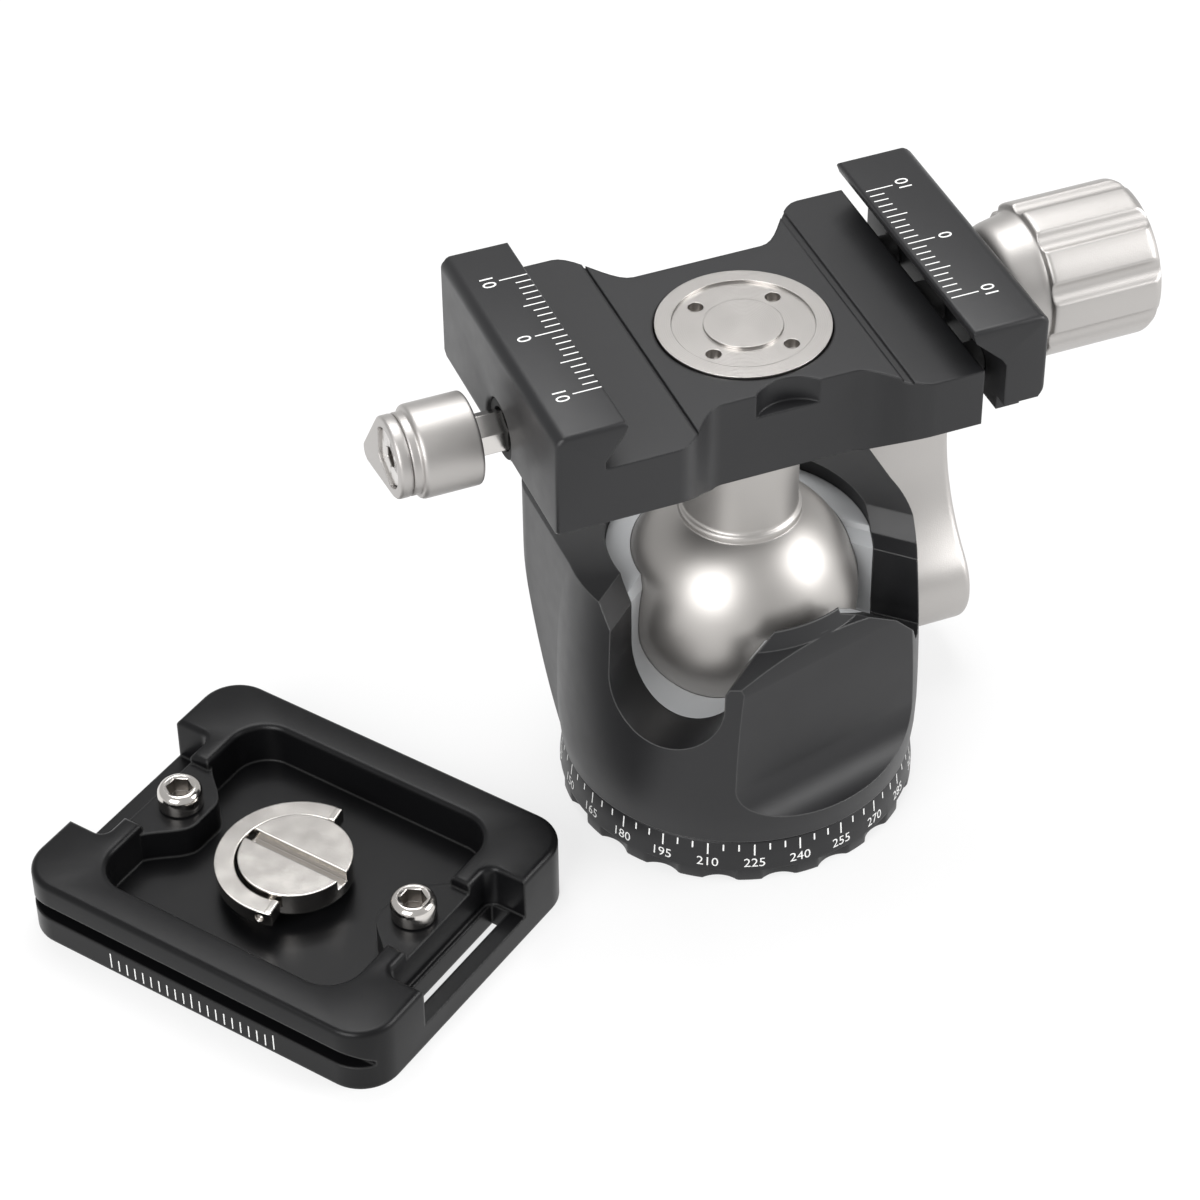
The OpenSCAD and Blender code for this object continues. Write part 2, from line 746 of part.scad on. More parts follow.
module ball() {
    shoulder_z = ball_z + sqrt(pow(ball_r, 2) - pow(stem_r + stem_shoulder, 2));
    color(silver)
        difference() {
            union() {
                translate([0, 0, ball_z]) sphere(r = ball_r);
                translate([0, 0, ball_z]) cylinder(r = stem_r, h = clamp_under_z - face_gap - ball_z);
                translate([0, 0, shoulder_z - stem_shoulder])
                    cylinder(r = stem_r + stem_shoulder, h = stem_shoulder + stem_shoulder);
                translate([0, 0, ball_z]) cylinder(r = spigot_r, h = spigot_top_z - ball_z);
            }
            translate([0, 0, shank_z - over])
                cylinder(r = shank_r + fit, h = spigot_top_z - shank_z + over + over);
        }
}

// Points with their two measures changed round.
function swapped(points) = [for (p = points) [p[1], p[0]]];

// A smooth S between two points, level at both ends.
function s_curve(x0, y0, x1, y1) = [for (i = [0 : steps]) let (t = i / steps)
    [x0 + (x1 - x0) * t, y0 + (y1 - y0) * (1 - cos(180 * t)) / 2]];

// The clamp body's plan: two end blocks with a waist between them.
module clamp_plan() {
    polygon(concat([[-fixed_outer_x, -jaw_half_y]],
        s_curve(-waist_half_x, -jaw_half_y, -waist_flat_x, -waist_front_y),
        s_curve(waist_flat_x, -waist_front_y, waist_half_x, -jaw_half_y),
        [[body_end_x, -jaw_half_y], [body_end_x, body_rear_y]],
        s_curve(waist_half_x, body_rear_y, waist_flat_x, waist_rear_y),
        s_curve(-waist_flat_x, waist_rear_y, -waist_half_x, body_rear_y),
        [[-fixed_inner_x, body_rear_y], [-fixed_inner_x, jaw_half_y], [-fixed_outer_x, jaw_half_y]]));
}

// Everything under the clamp's sloping front, rear and end bevels.
module clamp_bevels() {
    drop = skirt_z - clamp_under_z;
    low = clamp_under_z - over;
    slope = under_bevel_y / drop;
    for (side = [-1, 1])
        mirror([0, side < 0 ? 0 : 1, 0])
            translate([-fixed_outer_x - over, 0, 0]) rotate([90, 0, 90])
                linear_extrude(height = fixed_outer_x + body_end_x + over + over)
                    polygon([[-waist_front_y - chamfer + over * slope, low],
                        [-jaw_half_y - chamfer - over * slope, skirt_z + over],
                        [-jaw_half_y - flat_fillet_r, skirt_z + over], [-jaw_half_y - flat_fillet_r, low]]);
    for (side = [-1, 1])
        along_y(-body_rear_y - over, body_rear_y + over, [
            [side * (body_end_x - end_bevel + (side < 0 ? fixed_outer_x - body_end_x : 0)), low],
            [side * (body_end_x + (side < 0 ? fixed_outer_x - body_end_x : 0) + over), skirt_z],
            [side * (fixed_outer_x + flat_fillet_r), low]]);
}

module fixed_jaw() {
    lip_z = jaw_top_z - jaw_lip;
    along_y(-jaw_half_y, jaw_half_y, [
        [-fixed_outer_x, bed_z - over], [-fixed_outer_x, jaw_top_z - jaw_chamfer],
        [-fixed_outer_x + jaw_chamfer, jaw_top_z], [-fixed_inner_x, jaw_top_z],
        [-fixed_inner_x - jaw_lip_w, lip_z], [-fixed_inner_x - jaw_undercut, bed_z + jaw_chamfer],
        [-fixed_inner_x - jaw_undercut, bed_z - over]]);
}

module clamp_body() {
    color(black)
        difference() {
            union() {
                translate([0, 0, clamp_under_z])
                    linear_extrude(height = bed_z - clamp_under_z) clamp_plan();
                fixed_jaw();
            }
            clamp_bevels();
            translate([0, 0, clamp_under_z - over])
                cylinder(r = spigot_r + fit, h = spigot_h + over + face_gap);
            translate([0, 0, clamp_under_z]) cylinder(r = shank_r + loose, h = bed_z);
            translate([0, 0, disc_floor_z - face_gap]) cylinder(r = disc_recess_r, h = jaw_top_z);
            front_pocket();
            for (x = [bed_groove_x, -bed_line_x])
                translate([x, -body_rear_y - over, bed_z - bed_groove_d])
                    cube([x < 0 ? bed_line_w : bed_groove_w, body_rear_y + body_rear_y + over + over, over]);
            bar_x(screw_bore_x, body_end_x + over, 0, screw_z, screw_r + fit);
            for (side = [-1, 1]) {
                bar_x(body_end_x - pin_depth, body_end_x + over, side * pin_y, pin_z, pin_r + fit);
                bar_x(body_end_x - spring_pocket_d, body_end_x + over, side * pin_y, pin_z, spring_pocket_r);
            }
            bar_x(-fixed_outer_x - over, -fixed_outer_x + hex_depth + sleeve_space, 0, tool_z, hex_bore_r);
            bar_x(-fixed_outer_x - over, -fixed_outer_x + mouth_d, 0, tool_z, mouth_r);
        }
}

module front_pocket() {
    centre_y = -waist_front_y - pocket_half_x + pocket_reach;
    translate([0, centre_y, bed_z - pocket_depth]) cylinder(r = pocket_half_x, h = pocket_depth + over);
}

module clamp_disc() {
    top = bed_z + disc_rise;
    color(steel)
        difference() {
            union() {
                translate([0, 0, disc_floor_z]) cylinder(r = disc_r, h = disc_t);
                translate([0, 0, shank_z]) cylinder(r = shank_r, h = disc_floor_z - shank_z);
            }
            ring(top - disc_step, disc_step + over, disc_r * disc_boss_share, disc_r * disc_ring_share);
            for (i = [0 : 3])
                rotate([0, 0, spanner_turn + 90 * i])
                    translate([spanner_reach, 0, top - disc_t / 2]) cylinder(r = spanner_r, h = disc_t);
        }
}

module moving_jaw() {
    low = moving_under_z;
    color(black)
        difference() {
            union() {
                along_y(-jaw_half_y, jaw_half_y, [
                    [moving_wall_x, low], [moving_wall_x, bed_z], [moving_inner_x + jaw_lean, bed_z + jaw_chamfer],
                    [moving_inner_x + jaw_lip_w, jaw_top_z - jaw_lip], [moving_inner_x, jaw_top_z],
                    [moving_outer_x - jaw_chamfer, jaw_top_z], [moving_outer_x, jaw_top_z - jaw_chamfer],
                    [moving_outer_x, low + jaw_chamfer], [moving_outer_x - jaw_chamfer, low]]);
                translate([moving_wall_x, -jaw_half_y + jaw_foot_inset, low - jaw_foot_h])
                    cube([moving_outer_x - moving_wall_x - jaw_foot_outer,
                        jaw_half_y + jaw_half_y - jaw_foot_inset - jaw_foot_inset, jaw_foot_h + over]);
            }
            bar_x(moving_wall_x - over, moving_outer_x + over, 0, screw_z, screw_r + fit);
            for (side = [-1, 1]) {
                bar_x(moving_wall_x - over, moving_outer_x - jaw_chamfer, side * pin_y, pin_z, pin_r + fit);
                bar_x(moving_wall_x - over, moving_wall_x + jaw_travel + chamfer, side * pin_y, pin_z,
                    spring_pocket_r);
            }
        }
}

module guide_pins() {
    color(steel)
        for (side = [-1, 1])
            bar_x(body_end_x - pin_depth, moving_wall_x + jaw_foot_h, side * pin_y, pin_z, pin_r);
}

module jaw_springs() {
    color(steel)
        for (side = [-1, 1])
            tube_x(body_end_x - spring_pocket_d, moving_wall_x, side * pin_y, pin_z, spring_r, spring_r + spring_t);
}

module clamp_screw() {
    color(steel) bar_x(screw_bore_x + jaw_travel, knob_end_x - knob_collar_r, 0, screw_z, screw_r);
}

module clamp_washer() {
    color(steel)
        tube_x(clamp_washer_x, clamp_washer_x + clamp_washer_t, 0, screw_z, screw_r + loose, knob_collar_r);
}

module clamp_knob() {
    color(silver)
        difference() {
            union() {
                bar_x(collar_x, knob_start_x + over, 0, screw_z, knob_collar_r);
                translate([knob_start_x, 0, screw_z]) rotate([0, 90, 0])
                    rotate_extrude()
                        polygon([[0, 0], [knob_r - knob_chamfer, 0], [knob_r, knob_chamfer],
                            [knob_r, knob_end_x - knob_start_x - knob_chamfer],
                            [knob_r - knob_chamfer, knob_end_x - knob_start_x],
                            [0, knob_end_x - knob_start_x]]);
            }
            for (i = [0 : flute_count - 1])
                translate([knob_start_x - over, 0, screw_z])
                    rotate([flute_phase + i * 360 / flute_count, 0, 0])
                        translate([0, 0, knob_r + flute_r - flute_depth])
                            rotate([0, 90, 0]) cylinder(r = flute_r, h = knob_end_x);
            bar_x(collar_x - over, knob_end_x - knob_collar_r, 0, screw_z, screw_r + fit);
        }
}

module tool_hex_bar() {
    color(steel)
        translate([-handle_start_x - handle_l / 2, 0, tool_z])
            rotate([0, 90, 0])
                cylinder(r = hex_r, h = handle_start_x + handle_l / 2 - fixed_outer_x + hex_depth, $fn = 6);
}

module tool_handle() {
    color(silver)
        difference() {
            union() {
                translate([-handle_start_x, 0, tool_z]) rotate([0, -90, 0])
                    rotate_extrude()
                        polygon([[0, 0], [handle_r - chamfer, 0], [handle_r, chamfer],
                            [handle_r, handle_l - chamfer], [handle_r - chamfer, handle_l], [0, handle_l]]);
                bar_x(-blade_x, -handle_start_x - handle_l + over, 0, tool_z, neck_r);
            }
            bar_x(-handle_start_x - handle_l / 2, -handle_start_x + over, 0, tool_z, hex_r + fit);
            bar_x(-blade_x - over, -blade_x + neck_l + stop_socket_d, 0, tool_z, tool_shank_r + fit);
        }
}

// The blade's outline: a round disc drawn out to a rounded point.
module teardrop() {
    lean = acos((neck_r - blade_tip_r) / blade_reach);
    turns = steps + steps;
    polygon(concat(
        [for (i = [0 : turns]) let (a = lean + (360 - lean - lean) * i / turns) neck_r * [cos(a), sin(a)]],
        [for (i = [0 : steps]) let (a = lean * 2 * i / steps - lean)
            [blade_reach + blade_tip_r * cos(a), blade_tip_r * sin(a)]]));
}

module tool_blade() {
    color(silver)
        difference() {
            translate([-tool_end_x, 0, tool_z]) rotate([-blade_drop, 0, 0]) rotate([90, 0, 90])
                linear_extrude(height = blade_t) teardrop();
            bar_x(-tool_end_x - over, -tool_end_x + tool_cap_d + chamfer, 0, tool_z, tool_cap_r + fit);
            bar_x(-tool_end_x - over, -blade_x + over, 0, tool_z, tool_shank_r + fit);
        }
}

module tool_end_screw() {
    color(steel)
        difference() {
            union() {
                bar_x(-tool_end_x + tool_cap_d, -tool_end_x + tool_cap_d + chamfer, 0, tool_z, tool_cap_r);
                bar_x(-tool_end_x + tool_cap_d, -blade_x + neck_l, 0, tool_z, tool_shank_r);
            }
            translate([-tool_end_x - over, 0, tool_z]) rotate([0, 90, 0])
                cylinder(r = tool_socket_r, h = tool_cap_d + chamfer + over, $fn = 6);
        }
}

module tool_ring() {
    color(dark)
        tube_x(-fixed_outer_x + chamfer, -fixed_outer_x + chamfer + tool_ring_t, 0, tool_z, hex_r + fit,
            mouth_r - fit);
}

// Places what follows in the camera plate's own frame.
module on_plate() {
    translate([plate_x, plate_y, 0]) rotate([0, 0, plate_turn]) children();
}

module plate_block() {
    half_y = plate_w / 2;
    groove_z = lip_h + groove_top_h;
    difference() {
        rounded_rect(plate_l / 2, half_y, plate_corner_r, plate_h);
        for (side = [-1, 1])
            mirror([0, side < 0 ? 0 : 1, 0])
                translate([-plate_l / 2 - over, 0, 0]) rotate([90, 0, 90])
                    linear_extrude(height = plate_l + over + over)
                        polygon([[-half_y - over, lip_h], [-half_y + groove_d, lip_h],
                            [-half_y + groove_d, groove_z - groove_rise + chamfer],
                            [-half_y, groove_z + chamfer], [-half_y - over, groove_z + chamfer]]);
    }
}

// The large pocket, kept clear of the two stop screws' bosses.
module plate_recess() {
    difference() {
        translate([0, 0, recess_floor_z]) rounded_rect(recess_half_x, recess_half_y, recess_corner_r, plate_h);
        for (side = [-1, 1])
            mirror([side < 0 ? 1 : 0, 0, 0])
                linear_extrude(height = stop_boss_z)
                    polygon(swapped(concat(
                        s_curve(-stop_boss_half_y, boss_wall_x, -stop_nose_half_y, boss_wall_x - stop_boss_reach),
                        s_curve(stop_nose_half_y, boss_wall_x - stop_boss_reach, stop_boss_half_y, boss_wall_x),
                        [[stop_boss_half_y, boss_wall_x + over], [-stop_boss_half_y, boss_wall_x + over]])));
    }
}

module plate() {
    strap_x = plate_l / 2 - strap_d;
    slot_x = plate_l / 2 - strap_bar_w - strap_slot_w;
    color(black)
        on_plate()
            difference() {
                plate_block();
                plate_recess();
                for (side = [-1, 1])
                    mirror([side < 0 ? 1 : 0, 0, 0]) {
                        translate([strap_x + strap_d, 0, strap_bar_h])
                            rounded_rect(strap_d, strap_half_y, notch_corner_r, plate_h);
                        translate([slot_x, -strap_half_y + chamfer, -over])
                            cube([strap_slot_w, strap_half_y + strap_half_y - chamfer - chamfer, plate_h]);
                        translate([stop_x, 0, stop_z]) cylinder(r = stop_shank_r + fit, h = plate_h);
                        translate([plate_l / 2, 0, stop_boss_z])
                            rounded_rect(plate_l / 2 - boss_wall_x + stop_boss_reach + chamfer, stop_cut_half_y,
                                recess_corner_r / 2, plate_h);
                    }
                translate([0, 0, -over]) cylinder(r = cam_hole_r, h = plate_h);
            }
}

module stop_screws() {
    color(steel)
        on_plate()
            for (side = [-1, 1])
                translate([side * stop_x, 0, 0])
                    difference() {
                        union() {
                            translate([0, 0, stop_boss_z]) cylinder(r = stop_head_r, h = stop_head_h);
                            translate([0, 0, stop_z + chamfer])
                                cylinder(r = stop_shank_r, h = stop_boss_z - stop_z);
                        }
                        translate([0, 0, stop_boss_z + stop_head_h - stop_socket_d])
                            cylinder(r = stop_socket_r, h = stop_head_h, $fn = 6);
                    }
}

// The folding ring's pivot line, in the plate's frame.
module on_pivots() {
    on_plate() rotate([0, 0, dring_turn]) children();
}

module camera_screw() {
    pin_z0 = dring_z + dring_t / 2;
    color(steel)
        difference() {
            union() {
                on_plate() translate([0, 0, cam_bottom_z]) cylinder(r = cam_head_r, h = cam_head_h);
                on_plate() translate([0, 0, face_gap]) cylinder(r = cam_thread_r, h = cam_bottom_z);
            }
            on_plate() translate([-cam_head_r - over, -coin_slot_w / 2, cam_top_z - coin_slot_d])
                cube([cam_head_r + cam_head_r + over + over, coin_slot_w, cam_head_h]);
            on_pivots() bar_x(-cam_head_r - over, -cam_head_r + dring_pin_l, 0, pin_z0, dring_pin_r + fit);
            on_pivots() bar_x(cam_head_r - dring_pin_l, cam_head_r + over, 0, pin_z0, dring_pin_r + fit);
        }
}

module d_ring() {
    color(steel)
        on_pivots()
            difference() {
                union() {
                    intersection() {
                        ring(dring_z, dring_t, dring_inner_r, dring_outer_r);
                        translate([-dring_outer_r, 0, 0])
                            cube([dring_outer_r + dring_outer_r, dring_outer_r, plate_h]);
                    }
                    for (side = [-1, 1])
                        intersection() {
                            ring(dring_z, dring_t, dring_inner_r, dring_outer_r);
                            translate([side * dring_inner_r - dring_ear_w, -dring_ear_w / 2, dring_z])
                                cube([dring_ear_w + dring_ear_w, dring_ear_w, dring_t]);
                        }
                }
                bar_x(-dring_outer_r - over, dring_outer_r + over, 0, dring_z + dring_t / 2, dring_pin_r + fit);
            }
}

module d_ring_pins() {
    pin_z0 = dring_z + dring_t / 2;
    reach = dring_outer_r - chamfer;
    color(steel)
        on_pivots()
            for (side = [-1, 1])
                bar_x(side < 0 ? -reach : cam_head_r - dring_pin_l + chamfer,
                    side < 0 ? -cam_head_r + dring_pin_l - chamfer : reach, 0, pin_z0, dring_pin_r);
}

base_hub();
degree_ring();
tripod_bushing();
friction_washer();
pan_spring_washer();
pan_nut();
seat_spring();
ball_seat();
ball_liner();
housing();
lock_sleeve_left();
lock_sleeve_right();
lock_screw();
lock_washer();
lock_knob();
lock_knob_screw();
ball();
clamp_body();
clamp_disc();
moving_jaw();
guide_pins();
jaw_springs();
clamp_screw();
clamp_washer();
clamp_knob();
tool_hex_bar();
tool_handle();
tool_blade();
tool_end_screw();
tool_ring();
plate();
stop_screws();
camera_screw();
d_ring();
d_ring_pins();
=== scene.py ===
"""Dresses the tripod ball head: turned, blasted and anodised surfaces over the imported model, in metres.

Sizes in the classes are millimetres in the model's own frame: Z up, X across the clamp's jaws, Y along them.
"""

import logging
import math
from dataclasses import dataclass, field, replace
from enum import Enum
from typing import Callable, ClassVar, Sequence

import bmesh
import bpy
import numpy as np
from mathutils import Matrix, Vector


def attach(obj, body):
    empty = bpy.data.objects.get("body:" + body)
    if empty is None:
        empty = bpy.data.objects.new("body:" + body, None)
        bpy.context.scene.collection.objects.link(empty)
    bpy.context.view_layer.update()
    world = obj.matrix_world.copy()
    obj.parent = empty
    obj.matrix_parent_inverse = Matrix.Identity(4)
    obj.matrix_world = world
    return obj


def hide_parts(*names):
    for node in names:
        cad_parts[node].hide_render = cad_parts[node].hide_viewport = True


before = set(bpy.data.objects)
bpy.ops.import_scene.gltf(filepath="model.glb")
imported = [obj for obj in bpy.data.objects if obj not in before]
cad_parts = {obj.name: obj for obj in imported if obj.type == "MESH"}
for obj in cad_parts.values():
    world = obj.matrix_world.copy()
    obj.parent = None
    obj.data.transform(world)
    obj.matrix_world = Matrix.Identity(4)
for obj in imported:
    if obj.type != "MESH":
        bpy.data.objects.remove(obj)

LOG = logging.getLogger("ball_head")
MM = 0.001
Vec3 = tuple[float, float, float]
Rows = tuple[tuple[float, float], ...]

# Points closer than this are one, and edges shorter than the second are dissolved, in metres.
WELD = 1e-7
SHORTEST = 1e-8

# How many points a round outline of a screw has.
AROUND = 72

# A colour Mix node's sockets share their names with its other kinds', so they are told by number.
MIX_FACTOR, MIX_A, MIX_B, MIX_RESULT = 0, 6, 7, 2

# Distance between a Wave texture's rings at a scale of 1: about two pi over twenty.
WAVE_PERIOD = 0.314

# Sizes over which a finish's colour and its roughness drift, in millimetres.
DRIFT_MM = 9.0
CLOUD_MM = 2.5

# Cosines between the plain and the rounded normal at which the painted edge highlight begins and is at full
# strength.
EDGE_BEGINS, EDGE_FULL = 0.995, 0.93


class Grain(Enum):
    """How a surface was finished, which decides its fine relief."""

    BLASTED = "fine pits from glass beads"
    TURNED = "fine circles about Z from a lathe"
    POLISHED = "faint polishing haze"
    MOULDED = "soft mould texture"
    INK = "paint in an engraved line"


@dataclass(frozen=True)
class Finish:
    """One finish: its colour, gloss, relief and the rounding of its edges.

    Args:
        name: Plain name of the finish.
        colour: Linear base colour.
        metallic: 1 for bare metal, 0 for paint, oxide or plastic.
        roughness: Middle roughness.
        grain: Kind of relief.
        grain_mm: Size of the relief's cells.
        depth_mm: Height of the relief.
        mottle: Share by which the colour drifts over the piece.
        haze: How far the roughness drifts.
        edge_mm: Radius to which edges are seen as rounded.
        specular: Strength of a coat's own reflection; 0.5 is plain lacquer.
        painted_edge_grey: Grey painted along the edges as a highlight, for the light that small chamfers
            catch; 0 for none.
        slot: The record's material slot; not used.
    """

    name: str
    colour: Vec3
    metallic: float
    roughness: float
    grain: Grain
    grain_mm: float = 0.12
    depth_mm: float = 0.004
    mottle: float = 0.06
    haze: float = 0.05
    edge_mm: float = 0.25
    specular: float = 0.5
    painted_edge_grey: float = 0.0
    slot: str = "black_aluminium"

    def material(self) -> bpy.types.Material:
        """Returns the finish's material, made once."""
        found = bpy.data.materials.get(self.name)
        return found if found else self._build()

    def _build(self) -> bpy.types.Material:
        """Makes the node tree: drifting colour and roughness, relief, and rounded edges.

        Returns:
            The new material.
        """
        mat = bpy.data.materials.new(self.name)
        mat.use_nodes = True
        tree = mat.node_tree
        tree.nodes.clear()
        out = tree.nodes.new("ShaderNodeOutputMaterial")
        shader = tree.nodes.new("ShaderNodeBsdfPrincipled")
        tree.links.new(shader.outputs["BSDF"], out.inputs["Surface"])
        shader.inputs["Metallic"].default_value = self.metallic
        shader.inputs["IOR"].default_value = 1.5
        shader.inputs["Specular IOR Level"].default_value = self.specular
        coords = tree.nodes.new("ShaderNodeTexCoord")
        base = self._colour(tree, coords)
        tree.links.new(base.outputs[MIX_RESULT], shader.inputs["Base Color"])
        tree.links.new(self._gloss(tree, coords).outputs["Result"], shader.inputs["Roughness"])
        relief = self._relief(tree, coords)
        tree.links.new(relief.outputs["Normal"], shader.inputs["Normal"])
        if self.edge_mm > 0:
            edge = tree.nodes.new("ShaderNodeBevel")
            edge.samples = 6
            edge.inputs["Radius"].default_value = self.edge_mm * MM
            tree.links.new(edge.outputs["Normal"], relief.inputs["Normal"])
            # Where asked, a lighter grey is painted along the edges as a highlight.
            if self.painted_edge_grey > 0:
                self._paint_edge_highlights(tree, edge, base, shader)
        return mat

    def _noise(self, tree: bpy.types.NodeTree, coords: bpy.types.Node, size_mm: float,
               detail: float) -> bpy.types.Node:
        """Adds a noise on the piece's own coordinates.

        Args:
            tree: The material's nodes.
            coords: The node that gives the coordinates.
            size_mm: About how large its cells are.
            detail: How many finer layers it has.

        Returns:
            The noise.
        """
        node = tree.nodes.new("ShaderNodeTexNoise")
        node.inputs["Scale"].default_value = 1.0 / (size_mm * MM)
        node.inputs["Detail"].default_value = detail
        tree.links.new(coords.outputs["Object"], node.inputs["Vector"])
        return node

    def _colour(self, tree: bpy.types.NodeTree, coords: bpy.types.Node) -> bpy.types.Node:
        """Mixes the base colour, a little darker here and lighter there.

        Args:
            tree: The material's nodes.
            coords: The node that gives the coordinates.

        Returns:
            The node that mixes it.
        """
        mix = tree.nodes.new("ShaderNodeMix")
        mix.data_type = "RGBA"
        low = [c * (1.0 - self.mottle) for c in self.colour]
        high = [min(1.0, c * (1.0 + self.mottle)) for c in self.colour]
        mix.inputs[MIX_A].default_value = (*low, 1.0)
        mix.inputs[MIX_B].default_value = (*high, 1.0)
        drift = self._noise(tree, coords, DRIFT_MM, 3.0)
        tree.links.new(drift.outputs["Fac"], mix.inputs[MIX_FACTOR])
        return mix

    def _gloss(self, tree: bpy.types.NodeTree, coords: bpy.types.Node) -> bpy.types.Node:
        """Spreads a cloudy noise's middle part over the roughness.

        Args:
            tree: The material's nodes.
            coords: The node that gives the coordinates.

        Returns:
            The node that gives the roughness.
        """
        rough = tree.nodes.new("ShaderNodeMapRange")
        rough.inputs["From Min"].default_value = 0.3
        rough.inputs["From Max"].default_value = 0.7
        rough.inputs["To Min"].default_value = max(0.02, self.roughness - self.haze)
        rough.inputs["To Max"].default_value = self.roughness + self.haze
        cloud = self._noise(tree, coords, CLOUD_MM, 4.0)
        tree.links.new(cloud.outputs["Fac"], rough.inputs["Value"])
        return rough

    def _relief(self, tree: bpy.types.NodeTree, coords: bpy.types.Node) -> bpy.types.Node:
        """Bumps the surface by its grain: rings round the lathe's axis, or a fine noise.

        Args:
            tree: The material's nodes.
            coords: The node that gives the coordinates.

        Returns:
            The bump.
        """
        bump = tree.nodes.new("ShaderNodeBump")
        bump.inputs["Distance"].default_value = self.depth_mm * MM
        bump.inputs["Strength"].default_value = 1.0
        if self.grain is Grain.TURNED:
            rings = tree.nodes.new("ShaderNodeTexWave")
            rings.wave_type = "RINGS"
            rings.rings_direction = "Z"
            rings.inputs["Scale"].default_value = WAVE_PERIOD / (self.grain_mm * MM)
            rings.inputs["Distortion"].default_value = 1.5
            rings.inputs["Detail"].default_value = 4.0
            tree.links.new(coords.outputs["Object"], rings.inputs["Vector"])
        else:
            rings = self._noise(tree, coords, self.grain_mm, 2.0)
        tree.links.new(rings.outputs["Fac"], bump.inputs["Height"])
        return bump

    def _paint_edge_highlights(self, tree: bpy.types.NodeTree, edge: bpy.types.Node, base: bpy.types.Node,
                    shader: bpy.types.Node) -> None:
        """Paints a highlight along the edges: a lighter grey where the rounded normal turns from the plain
        one, for the light that small chamfers catch.

        Args:
            tree: The material's nodes.
            edge: The node that rounds the normal at edges.
            base: The node that mixes the base colour.
            shader: The surface shader.
        """
        plain = tree.nodes.new("ShaderNodeNewGeometry")
        dot = tree.nodes.new("ShaderNodeVectorMath")
        dot.operation = "DOT_PRODUCT"
        tree.links.new(plain.outputs["Normal"], dot.inputs[0])
        tree.links.new(edge.outputs["Normal"], dot.inputs[1])
        ramp = tree.nodes.new("ShaderNodeMapRange")
        ramp.inputs["From Min"].default_value = EDGE_BEGINS
        ramp.inputs["From Max"].default_value = EDGE_FULL
        tree.links.new(dot.outputs["Value"], ramp.inputs["Value"])
        # The painted edge highlight's grey, mixed over the base colour where the edge turns.
        mix = tree.nodes.new("ShaderNodeMix")
        mix.data_type = "RGBA"
        mix.inputs[MIX_B].default_value = (self.painted_edge_grey, self.painted_edge_grey, self.painted_edge_grey, 1.0)
        tree.links.new(ramp.outputs["Result"], mix.inputs[MIX_FACTOR])
        tree.links.new(base.outputs[MIX_RESULT], mix.inputs[MIX_A])
        tree.links.new(mix.outputs[MIX_RESULT], shader.inputs["Base Color"])


BLACK = Finish("black bead-blasted anodise", (0.0105, 0.0105, 0.0115), 0.0, 0.40, Grain.BLASTED, 0.11, 0.006,
               mottle=0.04, haze=0.02, edge_mm=0.35, specular=0.40)
# The housing's edges get a painted highlight: a lighter grey for the light that their chamfers catch.
BLACK_EDGE_HIGHLIT = replace(BLACK, name="black anodise with painted edge highlights", edge_mm=0.22, painted_edge_grey=0.07)
# The plate's edges get a faint painted highlight: a lighter grey for the light that their rims catch.
BLACK_PLATE = Finish("black plate anodise", (0.0045, 0.0045, 0.005), 0.0, 0.31, Grain.BLASTED, 0.10, 0.004,
                     mottle=0.03, haze=0.02, edge_mm=0.4, specular=0.20, painted_edge_grey=0.028)
SATIN = Finish("silver bead-blasted anodise", (0.50, 0.483, 0.468), 1.0, 0.46, Grain.BLASTED, 0.13, 0.010,
               mottle=0.015, haze=0.01, edge_mm=0.3, slot="satin_silver")
BALL = Finish("satin ball", (0.48, 0.462, 0.444), 1.0, 0.43, Grain.BLASTED, 0.10, 0.004,
              mottle=0.01, haze=0.01, edge_mm=0.2, slot="satin_silver")
DISC = Finish("turned disc", (0.46, 0.442, 0.425), 1.0, 0.30, Grain.TURNED, 0.22, 0.0034,
              mottle=0.01, haze=0.01, edge_mm=0.12, slot="machined_steel")
STEEL = Finish("polished steel", (0.66, 0.64, 0.62), 1.0, 0.20, Grain.POLISHED, 0.6, 0.001,
               mottle=0.02, haze=0.02, edge_mm=0.15, slot="polished_steel")
NICKEL = Finish("bright nickel", (0.70, 0.672, 0.64), 1.0, 0.16, Grain.POLISHED, 0.8, 0.0012,
                mottle=0.02, haze=0.03, edge_mm=0.22, slot="polished_steel")
# Painted shade for screw sockets: nickel darkened to the shade inside the recess, and rougher.
SOCKET_SHADE_NICKEL = replace(NICKEL, name="nickel darkened as painted shade in a socket", colour=(0.26, 0.245, 0.23), roughness=0.32)
DARK_STEEL = Finish("blackened spring steel", (0.05, 0.05, 0.05), 0.6, 0.45, Grain.POLISHED, 0.4, 0.001,
                    mottle=0.02, haze=0.02, edge_mm=0.1, slot="polished_steel")
LINER = Finish("light grey slide plastic", (0.42, 0.43, 0.44), 0.0, 0.45, Grain.MOULDED, 0.3, 0.002,
               mottle=0.02, haze=0.02, edge_mm=0.15, slot="grey_plastic")
RUBBER = Finish("black rubber", (0.015, 0.015, 0.015), 0.0, 0.7, Grain.MOULDED, 0.2, 0.003,
                edge_mm=0.1, slot="black_rubber")
INK = Finish("white scale ink", (0.80, 0.80, 0.79), 0.0, 0.5, Grain.INK, 0.1, 0.001, edge_mm=0.0)


def smooth(mesh: bpy.types.Mesh, sharp_deg: float) -> None:
    """Shades a mesh smooth, but for edges that bend more than so many degrees."""
    mesh.shade_smooth()
    mesh.set_sharp_from_angle(angle=math.radians(sharp_deg))


